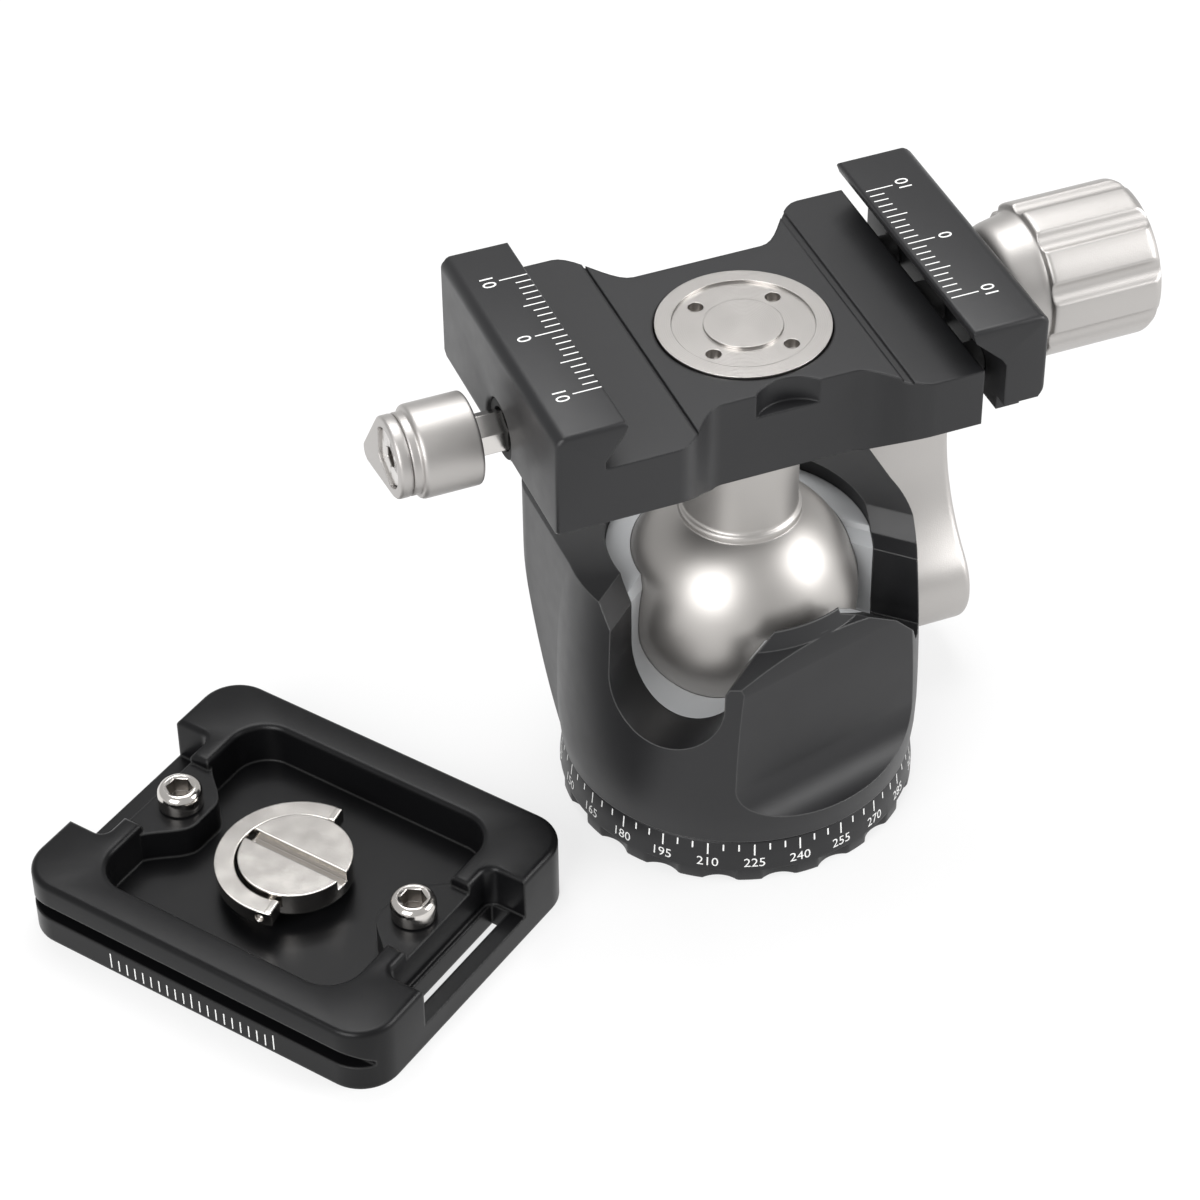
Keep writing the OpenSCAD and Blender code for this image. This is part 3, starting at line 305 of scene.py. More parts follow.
def mesh_object(name: str, verts: np.ndarray, faces: Sequence[Sequence[int]],
                sharp_deg: float = 32.0) -> bpy.types.Object:
    """Makes an object from points and faces, merged, with faces outwards and smooth by angle.

    Args:
        name: Object name.
        verts: Points, n by 3, in millimetres.
        faces: Point numbers of each face.
        sharp_deg: Edges that bend more than this stay sharp.

    Returns:
        The new object, at the origin.
    """
    mesh = bpy.data.meshes.new(name)
    mesh.from_pydata((np.asarray(verts, float) * MM).tolist(), [], [list(f) for f in faces])
    work = bmesh.new()
    work.from_mesh(mesh)
    bmesh.ops.remove_doubles(work, verts=work.verts, dist=WELD)
    bmesh.ops.dissolve_degenerate(work, edges=work.edges, dist=SHORTEST)
    bmesh.ops.recalc_face_normals(work, faces=work.faces)
    work.to_mesh(mesh)
    work.free()
    smooth(mesh, sharp_deg)
    obj = bpy.data.objects.new(name, mesh)
    bpy.context.scene.collection.objects.link(obj)
    return obj


def grid_faces(rows: int, cols: int, wrap_rows: bool, wrap_cols: bool) -> np.ndarray:
    """Quads of a grid of points, joined round where asked.

    Args:
        rows: Points one way.
        cols: Points the other way.
        wrap_rows: Whether the last row joins the first.
        wrap_cols: Whether the last column joins the first.

    Returns:
        An array of four point numbers a face.
    """
    i = np.arange(rows if wrap_rows else rows - 1)[:, None]
    j = np.arange(cols if wrap_cols else cols - 1)[None, :]
    i1, j1 = (i + 1) % rows, (j + 1) % cols
    quads = np.stack([i * cols + j, i * cols + j1, i1 * cols + j1, i1 * cols + j], axis=-1)
    return quads.reshape(-1, 4)


def shell_faces(rows: int, around: int) -> list[list[int]]:
    """Faces of a stack of closed outlines: its sides, its first outline and its last."""
    points = list(range(rows * around))
    return grid_faces(rows, around, False, True).tolist() + [points[:around][::-1], points[-around:]]


def slab(name: str, rings: np.ndarray, sharp_deg: float = 32.0) -> bpy.types.Object:
    """Makes an object from a stack of closed outlines, rings by points by 3."""
    return mesh_object(name, rings.reshape(-1, 3), shell_faces(*rings.shape[:2]), sharp_deg)


def rounded(points: Sequence[tuple[float, float]], radii: Sequence[float], steps: int = 5) -> np.ndarray:
    """Rounds a profile's corners.

    Each corner with a radius becomes a quadratic curve from a point that radius before it to one that radius
    after it.

    Args:
        points: Corners, as (radius, height).
        radii: How far from each corner its curve starts; 0 keeps it sharp.
        steps: Pieces in each curve.

    Returns:
        The points of the rounded profile.
    """
    p = np.array(points, float)
    t = np.linspace(0.0, 1.0, steps + 1)[:, None]
    parts = [p[:1]]
    for k in range(1, len(p) - 1):
        if radii[k] <= 0:
            parts.append(p[k:k + 1])
            continue
        before, after = p[k - 1] - p[k], p[k + 1] - p[k]
        a = p[k] + before * min(0.5, radii[k] / np.linalg.norm(before))
        b = p[k] + after * min(0.5, radii[k] / np.linalg.norm(after))
        parts.append((1 - t) ** 2 * a + 2 * t * (1 - t) * p[k] + t ** 2 * b)
    parts.append(p[-1:])
    return np.concatenate(parts)


def lathe(name: str, profile: np.ndarray, centre: Vec3, along: Vec3, turns: int = 144) -> bpy.types.Object:
    """Turns a profile of (radius, distance along the axis) about an axis.

    Args:
        name: Object name.
        profile: The profile's points.
        centre: A point on the axis.
        along: The axis's direction.
        turns: Points round the axis.

    Returns:
        The new object.
    """
    axis = np.array(Vector(along).normalized())
    side = np.array(Vector(along).normalized().orthogonal().normalized())
    third = np.cross(axis, side)
    a = np.linspace(0.0, 2 * np.pi, turns, endpoint=False)
    ring = np.cos(a)[:, None] * side + np.sin(a)[:, None] * third
    radius, height = profile[:, 0][:, None, None], profile[:, 1][:, None, None]
    points = np.array(centre) + height * axis + radius * ring[None]
    return mesh_object(name, points.reshape(-1, 3), grid_faces(len(profile), turns, False, True))


def hollows(angles: np.ndarray, count: int, phase: float, at: float, radius: float) -> np.ndarray:
    """How far from an axis equal circles, set evenly round it, leave the metal.

    At an angle d from a circle's middle that is at cos d - sqrt(radius^2 - at^2 sin^2 d).

    Args:
        angles: Where it is asked, in radians.
        count: How many circles there are.
        phase: Angle of the first circle's middle, in degrees.
        at: How far the circles' middles lie from the axis.
        radius: The circles' radius.

    Returns:
        A distance for each angle, infinite where no circle reaches.
    """
    pitch = 2 * np.pi / count
    d = (angles - math.radians(phase) + pitch / 2) % pitch - pitch / 2
    inside = radius ** 2 - (at * np.sin(d)) ** 2
    return np.where(inside > 0, at * np.cos(d) - np.sqrt(np.maximum(inside, 0)), np.inf)


def arc(x: float, y: float, r: float, a0: float, a1: float, steps: int) -> np.ndarray:
    """Points of an arc about (x, y) from angle a0 to a1, in degrees."""
    a = np.radians(np.linspace(a0, a1, steps))
    return np.stack([x + r * np.cos(a), y + r * np.sin(a)], axis=1)


def turned(flat: np.ndarray, degrees: float) -> np.ndarray:
    """Flat points turned about nought, from the first axis towards the second."""
    c, s = math.cos(math.radians(degrees)), math.sin(math.radians(degrees))
    return np.stack([flat[:, 0] * c - flat[:, 1] * s, flat[:, 0] * s + flat[:, 1] * c], axis=1)


def raised(flat: np.ndarray, height: float) -> np.ndarray:
    """Flat points, n by 2, all set at one height, n by 3."""
    return np.column_stack([flat, np.full(len(flat), height)])


def along_x(outlines: np.ndarray, start: Vec3, way: int = 1) -> np.ndarray:
    """Outlines of (across, across, along), laid over Y and Z from a start and along X the way asked."""
    x, y, z = start
    return np.stack([x + way * outlines[..., 2], y + outlines[..., 0], z + outlines[..., 1]], axis=-1)


def rounding(depth: float, radius: float, steps: int = 6) -> np.ndarray:
    """Insets and heights of a slab's rounded rim: a quarter circle at each face.

    Args:
        depth: The slab's thickness.
        radius: The quarter circles' radius.
        steps: Points in each of them.

    Returns:
        Rows of (inset, height) from one face to the other.
    """
    a = np.linspace(0.0, np.pi / 2, steps)
    low = np.stack([radius * (1 - np.sin(a)), radius * (1 - np.cos(a))], axis=1)
    high = np.stack([low[::-1, 0], depth - low[::-1, 1]], axis=1)
    return np.concatenate([low, high])


def sunk(stack: list[tuple[np.ndarray, float]], radius: float, depth: float, lean: float) -> np.ndarray:
    """Sinks a round recess in a stack's last face and turns the whole stack.

    The recess has one point towards each point of the outline round it.

    Args:
        stack: Outlines about nought, each with its height.
        radius: The recess's radius.
        depth: How deep it is.
        lean: The turn, in degrees.

    Returns:
        Outlines of (across, across, along), the last at the recess's floor.
    """
    last, top = stack[-1]
    hole = last * (radius / np.linalg.norm(last, axis=1))[:, None]
    return np.array([raised(turned(flat, lean), height)
                     for flat, height in stack + [(hole, top), (hole, top - depth)]])


@dataclass(frozen=True)
class SocketHead:
    """A screw's head with a six-sided socket, by its profile.

    Args:
        rows: The profile's (radius, height), from its lower end to the socket's rim.
        flat: How far the socket's sides lie from its axis.
        mouth: Height at which they begin.
        floor: Height of the socket's floor.
        reach: Share of flat within which a face's middle belongs to the socket.
        slack: How far below the floor it still does.
    """

    rows: Rows
    flat: float
    mouth: float
    floor: float
    reach: float = 1.2
    slack: float = 0.25

    def outlines(self) -> np.ndarray:
        """Works out the head's outlines: circles, and then the six-sided socket from its mouth to its floor.

        A side's points lie at flat over the cosine of their angle from the side's middle.

        Returns:
            Outlines of (across, across, along), for slab().
        """
        a = np.linspace(0.0, 2 * np.pi, AROUND, endpoint=False)
        circle = np.stack([np.cos(a), np.sin(a)], axis=1)
        side = np.pi / 3
        socket = circle * (self.flat / np.cos((a + side / 2) % side - side / 2))[:, None]
        return np.array([raised(radius * circle, height) for radius, height in self.rows]
                        + [raised(socket, self.mouth), raised(socket, self.floor)])

    def holds(self, across: float, along: float) -> bool:
        """Says whether a face is in the socket, by its middle's distance from the axis and its height."""
        return across < self.reach * self.flat and self.floor - self.slack < along < self.mouth


def lettering(text: str, height: float) -> tuple[np.ndarray, list[list[int]]]:
    """A number as flat faces, centred, in millimetres.

    Args:
        text: The digits.
        height: Their height.

    Returns:
        Its points, n by 2, and its faces.
    """
    curve = bpy.data.curves.new("digits", "FONT")
    curve.body = text
    curve.size = 1.0
    curve.resolution_u = 3
    obj = bpy.data.objects.new("digits", curve)
    bpy.context.scene.collection.objects.link(obj)
    bpy.context.view_layer.update()
    flat = bpy.data.meshes.new_from_object(obj.evaluated_get(bpy.context.evaluated_depsgraph_get()))
    co = np.empty(len(flat.vertices) * 3)
    flat.vertices.foreach_get("co", co)
    co = co.reshape(-1, 3)[:, :2]
    faces = [list(f.vertices) for f in flat.polygons]
    co -= (co.min(0) + co.max(0)) / 2
    co *= height / (co[:, 1].max() - co[:, 1].min())
    bpy.data.objects.remove(obj)
    bpy.data.curves.remove(curve)
    bpy.data.meshes.remove(flat)
    return co, faces


@dataclass
class Marks:
    """Flat marks collected on a surface's own plane and then laid on it as one piece."""

    points: list[np.ndarray] = field(default_factory=list)
    faces: list[list[int]] = field(default_factory=list)
    count: int = 0
    line_pieces: int = 3

    def add(self, points: np.ndarray, faces: Sequence[Sequence[int]]) -> None:
        """Adds flat faces.

        Args:
            points: Their points, n by 2.
            faces: Their point numbers, from 0.
        """
        self.points.append(points)
        self.faces += [[i + self.count for i in f] for f in faces]
        self.count += len(points)

    def line(self, start: tuple[float, float], end: tuple[float, float], width: float) -> None:
        """Adds a straight line, cut into short pieces so that it can bend.

        Args:
            start: One end's (u, v).
            end: The other end's.
            width: The line's width.
        """
        u, v = end[0] - start[0], end[1] - start[1]
        across = np.array([-v, u]) / np.hypot(u, v) * width / 2
        t = np.linspace(0.0, 1.0, self.line_pieces + 1)[:, None]
        middle = np.array(start) + np.array([u, v]) * t
        self.add(np.concatenate([middle + across, middle - across]),
                 grid_faces(2, len(t), False, False).tolist())

    def number(self, text: str, u: float, v: float, height: float, turn: float = 0.0) -> None:
        """Adds a number.

        Args:
            text: The digits.
            u: Their middle along the plane's first axis.
            v: Their middle along its second.
            height: Their height.
            turn: Degrees by which they are turned.
        """
        co, faces = lettering(text, height)
        self.add(turned(co, turn) + np.array([u, v]), faces)

    def flat(self) -> np.ndarray:
        """All points, n by 2."""
        return np.concatenate(self.points)


class Assembly:
    """What every sub-assembly can do: skin a node, dress it as it is, or place a new piece."""

    body: ClassVar[str] = "base"

    def skin(self, node: str, finish: Finish, body: str = "", sharp_deg: float = 30.0) -> bpy.types.Object:
        """Replaces a CAD node by a merged copy whose curved faces are smooth.

        Args:
            node: The CAD node.
            finish: Its finish.
            body: The body it rides on, if not the assembly's own.
            sharp_deg: Edges that bend more than this stay sharp.

        Returns:
            The copy.
        """
        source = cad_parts[node].data
        source.calc_loop_triangles()
        co = np.empty(len(source.vertices) * 3)
        source.vertices.foreach_get("co", co)
        tri = np.empty(len(source.loop_triangles) * 3, int)
        source.loop_triangles.foreach_get("vertices", tri)
        key = np.round(co.reshape(-1, 3) / WELD).astype(np.int64)
        _, first, back = np.unique(key, axis=0, return_index=True, return_inverse=True)
        tri = back.ravel()[tri.reshape(-1, 3)]
        tri = tri[(tri[:, 0] != tri[:, 1]) & (tri[:, 1] != tri[:, 2]) & (tri[:, 0] != tri[:, 2])]
        obj = mesh_object(node + "_skin", co.reshape(-1, 3)[first] / MM, tri, sharp_deg)
        return self.place(obj, finish, node, body=body)

    def soften(self, obj: bpy.types.Object, width: float, chosen: Callable[[Vector], bool],
               sharp_deg: float = 30.0) -> None:
        """Rounds an object's outer edges whose both ends are chosen, as real geometry.

        Args:
            obj: The object, made of merged faces.
            width: How far the rounding reaches from the edge, in millimetres.
            chosen: Says of a point in millimetres whether an edge may end there.
            sharp_deg: Edges that still bend more than this stay sharp.
        """
        flat, bend = math.radians(1.0), math.radians(25.0)
        work = bmesh.new()
        work.from_mesh(obj.data)
        bmesh.ops.dissolve_limit(work, angle_limit=flat, verts=work.verts, edges=work.edges)
        edges = [e for e in work.edges if len(e.link_faces) == 2 and e.calc_face_angle_signed(0.0) > bend
                 and all(chosen(v.co / MM) for v in e.verts)]
        bmesh.ops.bevel(work, geom=edges, offset=width * MM, offset_type="OFFSET", segments=4, profile=0.5,
                        affect="EDGES", clamp_overlap=False)
        bmesh.ops.triangulate(work, faces=[f for f in work.faces if len(f.verts) > 4])
        work.to_mesh(obj.data)
        work.free()
        smooth(obj.data, sharp_deg)
        LOG.info("%s: %d edges rounded", obj.name, len(edges))

    def crown(self, obj: bpy.types.Object, top: float, width: float, sharp_deg: float = 30.0,
              steps: int = 5) -> None:
        """Rounds every border of an object's level top, holes too: sinks it and raises it again ring by ring.

        At a turn t of the quarter circle the ring is width (1 - cos t) inside the border and
        width (1 - sin t) below the top.

        Args:
            obj: The object, made of merged faces.
            top: Height of the level top, in millimetres.
            width: Radius of the rounding, in millimetres.
            sharp_deg: Edges that still bend more than this stay sharp.
            steps: Rings in the rounding.
        """
        level, near = 0.999, 0.01
        work = bmesh.new()
        work.from_mesh(obj.data)
        faces = [f for f in work.faces
                 if f.normal.z > level and abs(f.calc_center_median().z / MM - top) < near]
        for vert in {v for f in faces for v in f.verts}:
            vert.co.z -= width * MM
        turns = [math.radians(90.0 * k / steps) for k in range(steps + 1)]
        for low, high in zip(turns, turns[1:]):
            bmesh.ops.inset_region(work, faces=faces, thickness=width * MM * (math.cos(low) - math.cos(high)),
                                   depth=width * MM * (math.sin(high) - math.sin(low)),
                                   use_even_offset=True, use_boundary=True)
        work.to_mesh(obj.data)
        work.free()
        smooth(obj.data, sharp_deg)

    def place(self, obj: bpy.types.Object, finish: Finish, *nodes: str, body: str = "") -> bpy.types.Object:
        """Gives a new piece its finish and body, and lets it stand for CAD nodes.

        Args:
            obj: The piece.
            finish: Its finish.
            nodes: The CAD nodes that it replaces, if any.
            body: The body it rides on, if not the assembly's own.

        Returns:
            The piece.
        """
        obj.data.materials.clear()
        obj.data.materials.append(finish.material())
        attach(obj, body or self.body)
        if nodes:
            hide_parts(*nodes)
        LOG.info("%s: %d faces, %s", obj.name, len(obj.data.polygons), finish.name)
        return obj

    def paint_socket_shade(self, obj: bpy.types.Object, inside: Callable[[Vector], bool]) -> None:
        """Paints shade into a screw's socket: its faces take a much darker and rougher nickel.

        Args:
            obj: The screw.
            inside: Says of a face's middle, in millimetres, whether it lies in the socket.
        """
        obj.data.materials.append(SOCKET_SHADE_NICKEL.material())
        for face in obj.data.polygons:
            face.material_index = int(inside(face.center / MM))

    def dress(self, finish: Finish, *nodes: str) -> None:
        """Gives CAD nodes a finish as they are.

        Args:
            finish: The finish.
            nodes: The nodes.
        """
        for node in nodes:
            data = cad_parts[node].data
            data.materials.clear()
            data.materials.append(finish.material())
            LOG.info("%s: %s", node, finish.name)


@dataclass
class PanBase(Assembly):
    """The base: hub, bushing and the degree ring with its scalloped skirt.

    The foot's rows are (outwards, upwards) from the skirt's lower edge, and the rim's from the band's upper
    edge.
    """

    inner_r: float = 16.44
    skirt_r: float = 19.4
    skirt_h: float = 1.5
    skirt_row: float = 1.38
    foot: Rows = ((-0.35, 0.0), (-0.1, 0.08), (0.0, 0.3))
    foot_share: float = 0.6
    band_r: float = 19.0
    band_row: float = 3.2
    rim: Rows = ((0.02, -0.22), (-0.06, -0.06), (-0.25, 0.0))
    height: float = 5.35
    notch_count: int = 19
    notch_r: float = 3.2
    notch_depth: float = 0.75
    notch_phase: float = -118.3
    notch_steps: int = 26
    scale_zero: float = 27.67
    line_every: int = 5
    number_every: int = 15
    line_drop: float = 0.3
    long_l: float = 1.45
    short_l: float = 0.85
    line_w: float = 0.17
    digit_z: float = 2.62
    digit_h: float = 1.12
    proud: float = 0.02
    body: ClassVar[str] = "base"

    def band(self, z: np.ndarray) -> np.ndarray:
        """Radius of the scale band: a straight taper from the skirt's top to the ring's top."""
        share = np.clip((z - self.skirt_h) / (self.height - self.skirt_h), 0, 1)
        return self.skirt_r + (self.band_r - self.skirt_r) * share

    def ring(self) -> bpy.types.Object:
        """Makes the ring: a closed profile turned about Z, its skirt cut by circles set round it.

        The skirt keeps the smaller of its own radius and the circles' hollows. The hollows follow the foot's
        rounding by a share.

        Returns:
            The ring.
        """
        r = self.skirt_r
        rows = [(self.inner_r, 0.0, False)]
        rows += [(r + out, up, True) for out, up in self.foot]
        rows += [(r, self.skirt_row, True), (r, self.skirt_h, True), (r, self.skirt_h, False)]
        rows += [(float(self.band(np.array(self.band_row))), self.band_row, False)]
        rows += [(self.band_r + out, self.height + up, False) for out, up in self.rim]
        rows += [(self.inner_r, self.height, False)]
        turns = self.notch_count * self.notch_steps
        a = np.linspace(0.0, 2 * np.pi, turns, endpoint=False)
        at = r + self.notch_r - self.notch_depth
        cut = hollows(a, self.notch_count, self.notch_phase, at, self.notch_r)
        radius = np.array([np.minimum(own, cut - (r - own) * self.foot_share) if notched
                           else np.full(turns, own) for own, _, notched in rows])
        z = np.array([up for _, up, _ in rows])[:, None] + 0 * a
        points = np.stack([radius * np.cos(a), radius * np.sin(a), z], axis=-1)
        faces = grid_faces(len(rows), turns, True, True)
        return self.place(mesh_object("degree_ring_skin", points.reshape(-1, 3), faces), BLACK, "degree_ring")

    def scale(self) -> bpy.types.Object:
        """Makes the degree scale, longer lines and numbers at every third line, wrapped on the band.

        A flat point (u, v) goes to the angle u / radius and the height v, just proud of the band.

        Returns:
            The scale.
        """
        marks = Marks()
        span = math.radians(1.0) * self.band_r
        top = self.height - self.line_drop
        for degree in range(0, 360, self.line_every):
            u = (degree + self.scale_zero) * span
            if degree % self.number_every == 0:
                marks.line((u, top), (u, top - self.long_l), self.line_w)
                marks.number(str(degree), u, self.digit_z, self.digit_h)
            else:
                marks.line((u, top), (u, top - self.short_l), self.line_w)
        flat = marks.flat()
        angle, z = flat[:, 0] / self.band_r, flat[:, 1]
        r = self.band(z) + self.proud
        points = np.stack([r * np.cos(angle), r * np.sin(angle), z], axis=1)
        return self.place(mesh_object("degree_scale", points, marks.faces, 60.0), INK)

    def build(self) -> None:
        """Makes the base's pieces."""
        self.ring()
        self.scale()
        self.skin("base_hub", BLACK)
        self.dress(STEEL, "tripod_bushing", "pan_spring_washer", "pan_nut", "seat_spring")
        self.dress(LINER, "friction_washer", "ball_seat")


@dataclass
class HousingAndBall(Assembly):
    """The notched housing, its liner, and the ball on its stem."""

    ball_r: float = 12.75
    ball_z: float = 25.3
    ball_steps: int = 90
    shoulder_r: float = 6.55
    shoulder_h: float = 0.7
    stem_r: float = 6.1
    stem_low: float = 1.0
    stem_row: float = 6.0
    stem_top: float = 49.45
    spigot_r: float = 5.0
    spigot_top: float = 52.5
    bore_r: float = 2.99
    bore_z: float = 42.0
    corner: float = 0.3
    turns: int = 180
    body: ClassVar[str] = "housing"

    def ball(self) -> bpy.types.Object:
        """Makes ball, shoulder, stem and spigot as one turned profile.

        The ball's part is a circle about its centre, up to the shoulder's radius.

        Returns:
            The ball.
        """
        last = math.asin(self.shoulder_r / self.ball_r)
        a = np.linspace(0.0, np.pi - last, self.ball_steps)
        sphere = np.stack([self.ball_r * np.sin(a), self.ball_z - self.ball_r * np.cos(a)], axis=1)
        z = sphere[-1, 1]
        shoulder = [(self.shoulder_r, z), (self.shoulder_r, z + self.shoulder_h)]
        stem = [(self.stem_r, up) for up in (z + self.stem_low, z + self.stem_row, self.stem_top)]
        spigot = [(self.spigot_r, self.stem_top), (self.spigot_r, self.spigot_top)]
        bore = [(self.bore_r, self.spigot_top), (self.bore_r, self.bore_z), (0.0, self.bore_z)]
        radii = [self.corner * soft for soft in (0, 1, 1, 0, 1, 0, 1, 0, 0, 0)]
        profile = np.concatenate([sphere, rounded(shoulder + stem + spigot + bore, radii)])
        obj = lathe("ball_and_stem", profile, (0, 0, 0), (0, 0, 1), self.turns)
        return self.place(obj, BALL, "ball", body="ball")

    def build(self) -> None:
        """Makes the housing's and the ball's pieces."""
        self.skin("housing", BLACK_EDGE_HIGHLIT)
        self.skin("ball_liner", LINER)
        self.ball()


@dataclass
class Lock(Assembly):
    """The wing knob and the bolt it turns."""

    centre_y: float = 14.8
    centre_z: float = 18.9
    inner_x: float = 20.0
    outer_x: float = 31.0
    half_l: float = 10.0
    end_r: float = 6.1
    end_steps: int = 40
    waist: float = 4.0
    flank_steps: int = 30
    lean: float = -23.0
    edge_r: float = 0.9
    hub_r: float = 3.6
    hub_x: float = 19.45
    hub_seat: float = 0.3
    hub_edge: float = 0.12
    recess_r: float = 2.96
    recess_depth: float = 1.0
    head: SocketHead = SocketHead(((2.9, -0.9), (2.9, 0.02), (2.75, 0.14), (1.75, 0.14)), 1.25, 0.05, -0.7)
    body: ClassVar[str] = "lock_knob"

    def outline(self, inset: float) -> np.ndarray:
        """Works out the wing's outline: two round ends joined by hollow flanks that touch them.

        A flank touches both ends where the distance between the arcs' centres is the sum of their radii,
        which gives its radius as (length^2 + waist^2 - end^2) / (2 (end - waist)).

        Args:
            inset: How far inside the full outline it runs.

        Returns:
            Its points, n by 2.
        """
        flank_r = (self.half_l ** 2 + self.waist ** 2 - self.end_r ** 2) / (2 * (self.end_r - self.waist))
        c = self.waist + flank_r
        lean = math.degrees(math.atan(self.half_l / c))
        end, side = self.end_r - inset, flank_r + inset
        return np.concatenate([arc(0, self.half_l, end, -lean, 180 + lean, self.end_steps)[:-1],
                               arc(-c, 0, side, lean, -lean, self.flank_steps)[:-1],
                               arc(0, -self.half_l, end, 180 - lean, 360 + lean, self.end_steps)[:-1],
                               arc(c, 0, side, 180 + lean, 180 - lean, self.flank_steps)[:-1]])

    def wing(self) -> bpy.types.Object:
        """Makes the wing: its outline stacked along X, with rounded rims and a recess for the knob screw.

        Returns:
            The wing.
        """
        rims = rounding(self.outer_x - self.inner_x, self.edge_r)
        stack = [(self.outline(inset), height) for inset, height in rims]
        outlines = sunk(stack, self.recess_r, self.recess_depth, self.lean)
        points = along_x(outlines, (self.inner_x, self.centre_y, self.centre_z))
        return self.place(slab("lock_wing", points), SATIN, "lock_knob")

    def collar(self) -> bpy.types.Object:
        """Makes the short collar between the wing and the washer.

        Returns:
            The collar.
        """
        length = self.inner_x - self.hub_x + self.hub_seat
        outline = [(0, 0), (self.hub_r, 0), (self.hub_r, length), (0, length)]
        profile = rounded(outline, [0, self.hub_edge, 0, 0])
        obj = lathe("lock_collar", profile, (self.hub_x, self.centre_y, self.centre_z), (1, 0, 0), AROUND)
        return self.place(obj, SATIN)

    def cap(self) -> bpy.types.Object:
        """Makes the knob screw's head, seen on the wing's outer face.

        Returns:
            The head.
        """
        points = along_x(self.head.outlines(), (self.outer_x, self.centre_y, self.centre_z))
        cap = self.place(slab("lock_knob_cap", points), STEEL, "lock_knob_screw")
        # The socket's faces are painted darker as the shade inside it.
        self.paint_socket_shade(cap, lambda p: self.head.holds(math.hypot(p.y - self.centre_y, p.z - self.centre_z),
                                                 p.x - self.outer_x))
        return cap

    def build(self) -> None:
        """Makes the lock's pieces."""
        self.wing()
        self.collar()
        self.cap()
        self.dress(STEEL, "lock_screw", "lock_washer", "lock_sleeve_left", "lock_sleeve_right")


@dataclass
class Clamp(Assembly):
    """The clamp body, disc, moving jaw, knob and the scales on both jaws."""

    top_z: float = 64.6
    left_inner_x: float = -19.35
    right_inner_x: float = 18.04
    scale_half: int = 10
    label_reach: float = 4.15
    long_l: float = 3.0
    middle_l: float = 2.3
    short_l: float = 1.6
    line_w: float = 0.15
    digit_h: float = 1.45
    proud: float = 0.015
    screw_z: float = 56.36
    collar_x: float = 26.75
    knob_x: float = 31.25
    knob_end_x: float = 43.64
    knob_r: float = 8.2
    end_l: float = 0.8
    end_drop: float = 0.5
    barrel_rows: int = 5
    barrel_from: float = 1.5
    barrel_to: float = 1.4
    flutes: int = 9
    flute_r: float = 1.45
    flute_depth: float = 0.62
    flute_phase: float = 27.5
    flute_steps: int = 40
    flute_blend: float = 0.06
    flute_from: float = 0.3
    flute_rise: float = 0.15
    jaw_round: float = 0.5
    jaw_edge_h: float = 0.9
    jaw_edge_w: float = 1.0
    corner_x: float = -26.3
    jaw_corner_x: float = 25.8
    body: ClassVar[str] = "clamp"

    def jaw_scale(self, side: int) -> bpy.types.Object:
        """Makes one jaw's scale: a line every millimetre, numbered 10, 0 and 10, on the jaw's top.

        Args:
            side: -1 for the fixed jaw, 1 for the moving one.

        Returns:
            The scale.
        """
        marks = Marks()
        inner = self.left_inner_x if side < 0 else self.right_inner_x
        for k in range(-self.scale_half, self.scale_half + 1):
            length = self.long_l if k % 10 == 0 else self.middle_l if k % 5 == 0 else self.short_l
            marks.line((inner, k), (inner + side * length, k), self.line_w)
        for k in (-self.scale_half, 0, self.scale_half):
            marks.number(str(abs(k)), inner + side * self.label_reach, k, self.digit_h, 90.0 * side)
        points = raised(marks.flat(), self.top_z + self.proud)
        obj = mesh_object("fixed_jaw_scale" if side < 0 else "moving_jaw_scale", points, marks.faces)
        return self.place(obj, INK, body="clamp" if side < 0 else "moving_jaw")

    def knob_profile(self, step: float, length: float) -> np.ndarray:
        """Works out the knob's profile: a rounded collar, the step and the barrel with a few more rows.

        Args:
            step: How far along the axis the barrel begins.
            length: How far it ends.

        Returns:
            Rows of (radius, distance along the axis).
        """
        collar = [(0.0, 0.0), (5.5, 0.0), (6.7, 1.0), (7.25, step - 0.5)]
        shoulder = [(7.4, step - 0.12), (8.05, step - 0.04), (self.knob_r, step + 0.25)]
        end = [(self.knob_r, length - self.end_l), (self.knob_r - self.end_drop, length), (0.0, length)]
        profile = rounded(collar + shoulder + end, [0, 0.8, 0.9, 0.3, 0.1, 0.1, 0.2, 0.3, 0.35, 0], 6)
        along = np.linspace(step + self.barrel_from, length - self.barrel_to, self.barrel_rows)
        barrel = np.stack([np.full(self.barrel_rows, self.knob_r), along], axis=1)
        return np.insert(profile, int(np.argmax(profile[:, 1] > along[0])), barrel, axis=0)

    def knob(self) -> bpy.types.Object:
        """Makes the clamp knob: its profile turned about the screw's axis, the barrel with hollow flutes.

        The barrel's radius is the smaller of its profile's and the flutes', softly blended: minus the blend
        times the logarithm of the sum of exp(-radius / blend) over both.

        Returns:
            The knob.
        """
        step = self.knob_x - self.collar_x
        profile = self.knob_profile(step, self.knob_end_x - self.collar_x)
        turns = self.flutes * self.flute_steps
        a = np.linspace(0.0, 2 * np.pi, turns, endpoint=False)
        at = self.knob_r + self.flute_r - self.flute_depth
        r = profile[:, 0][:, None] + 0 * a
        cut = hollows(a, self.flutes, self.flute_phase, at, self.flute_r)
        soft = -self.flute_blend * np.log(np.exp(-r / self.flute_blend) + np.exp(-cut / self.flute_blend))
        share = np.clip((profile[:, 1] - step + self.flute_from) / self.flute_rise, 0, 1)[:, None]
        radius = np.where(r > 0.01, r + (np.minimum(soft, r) - r) * share, 0.0)
        x = self.collar_x + profile[:, 1][:, None] + 0 * a
        points = np.stack([x, -radius * np.sin(a), self.screw_z + radius * np.cos(a)], axis=-1)
        faces = grid_faces(len(profile), turns, False, True)
        obj = mesh_object("clamp_knob_skin", points.reshape(-1, 3), faces, 40.0)
        return self.place(obj, SATIN, "clamp_knob", body="clamp_knob")

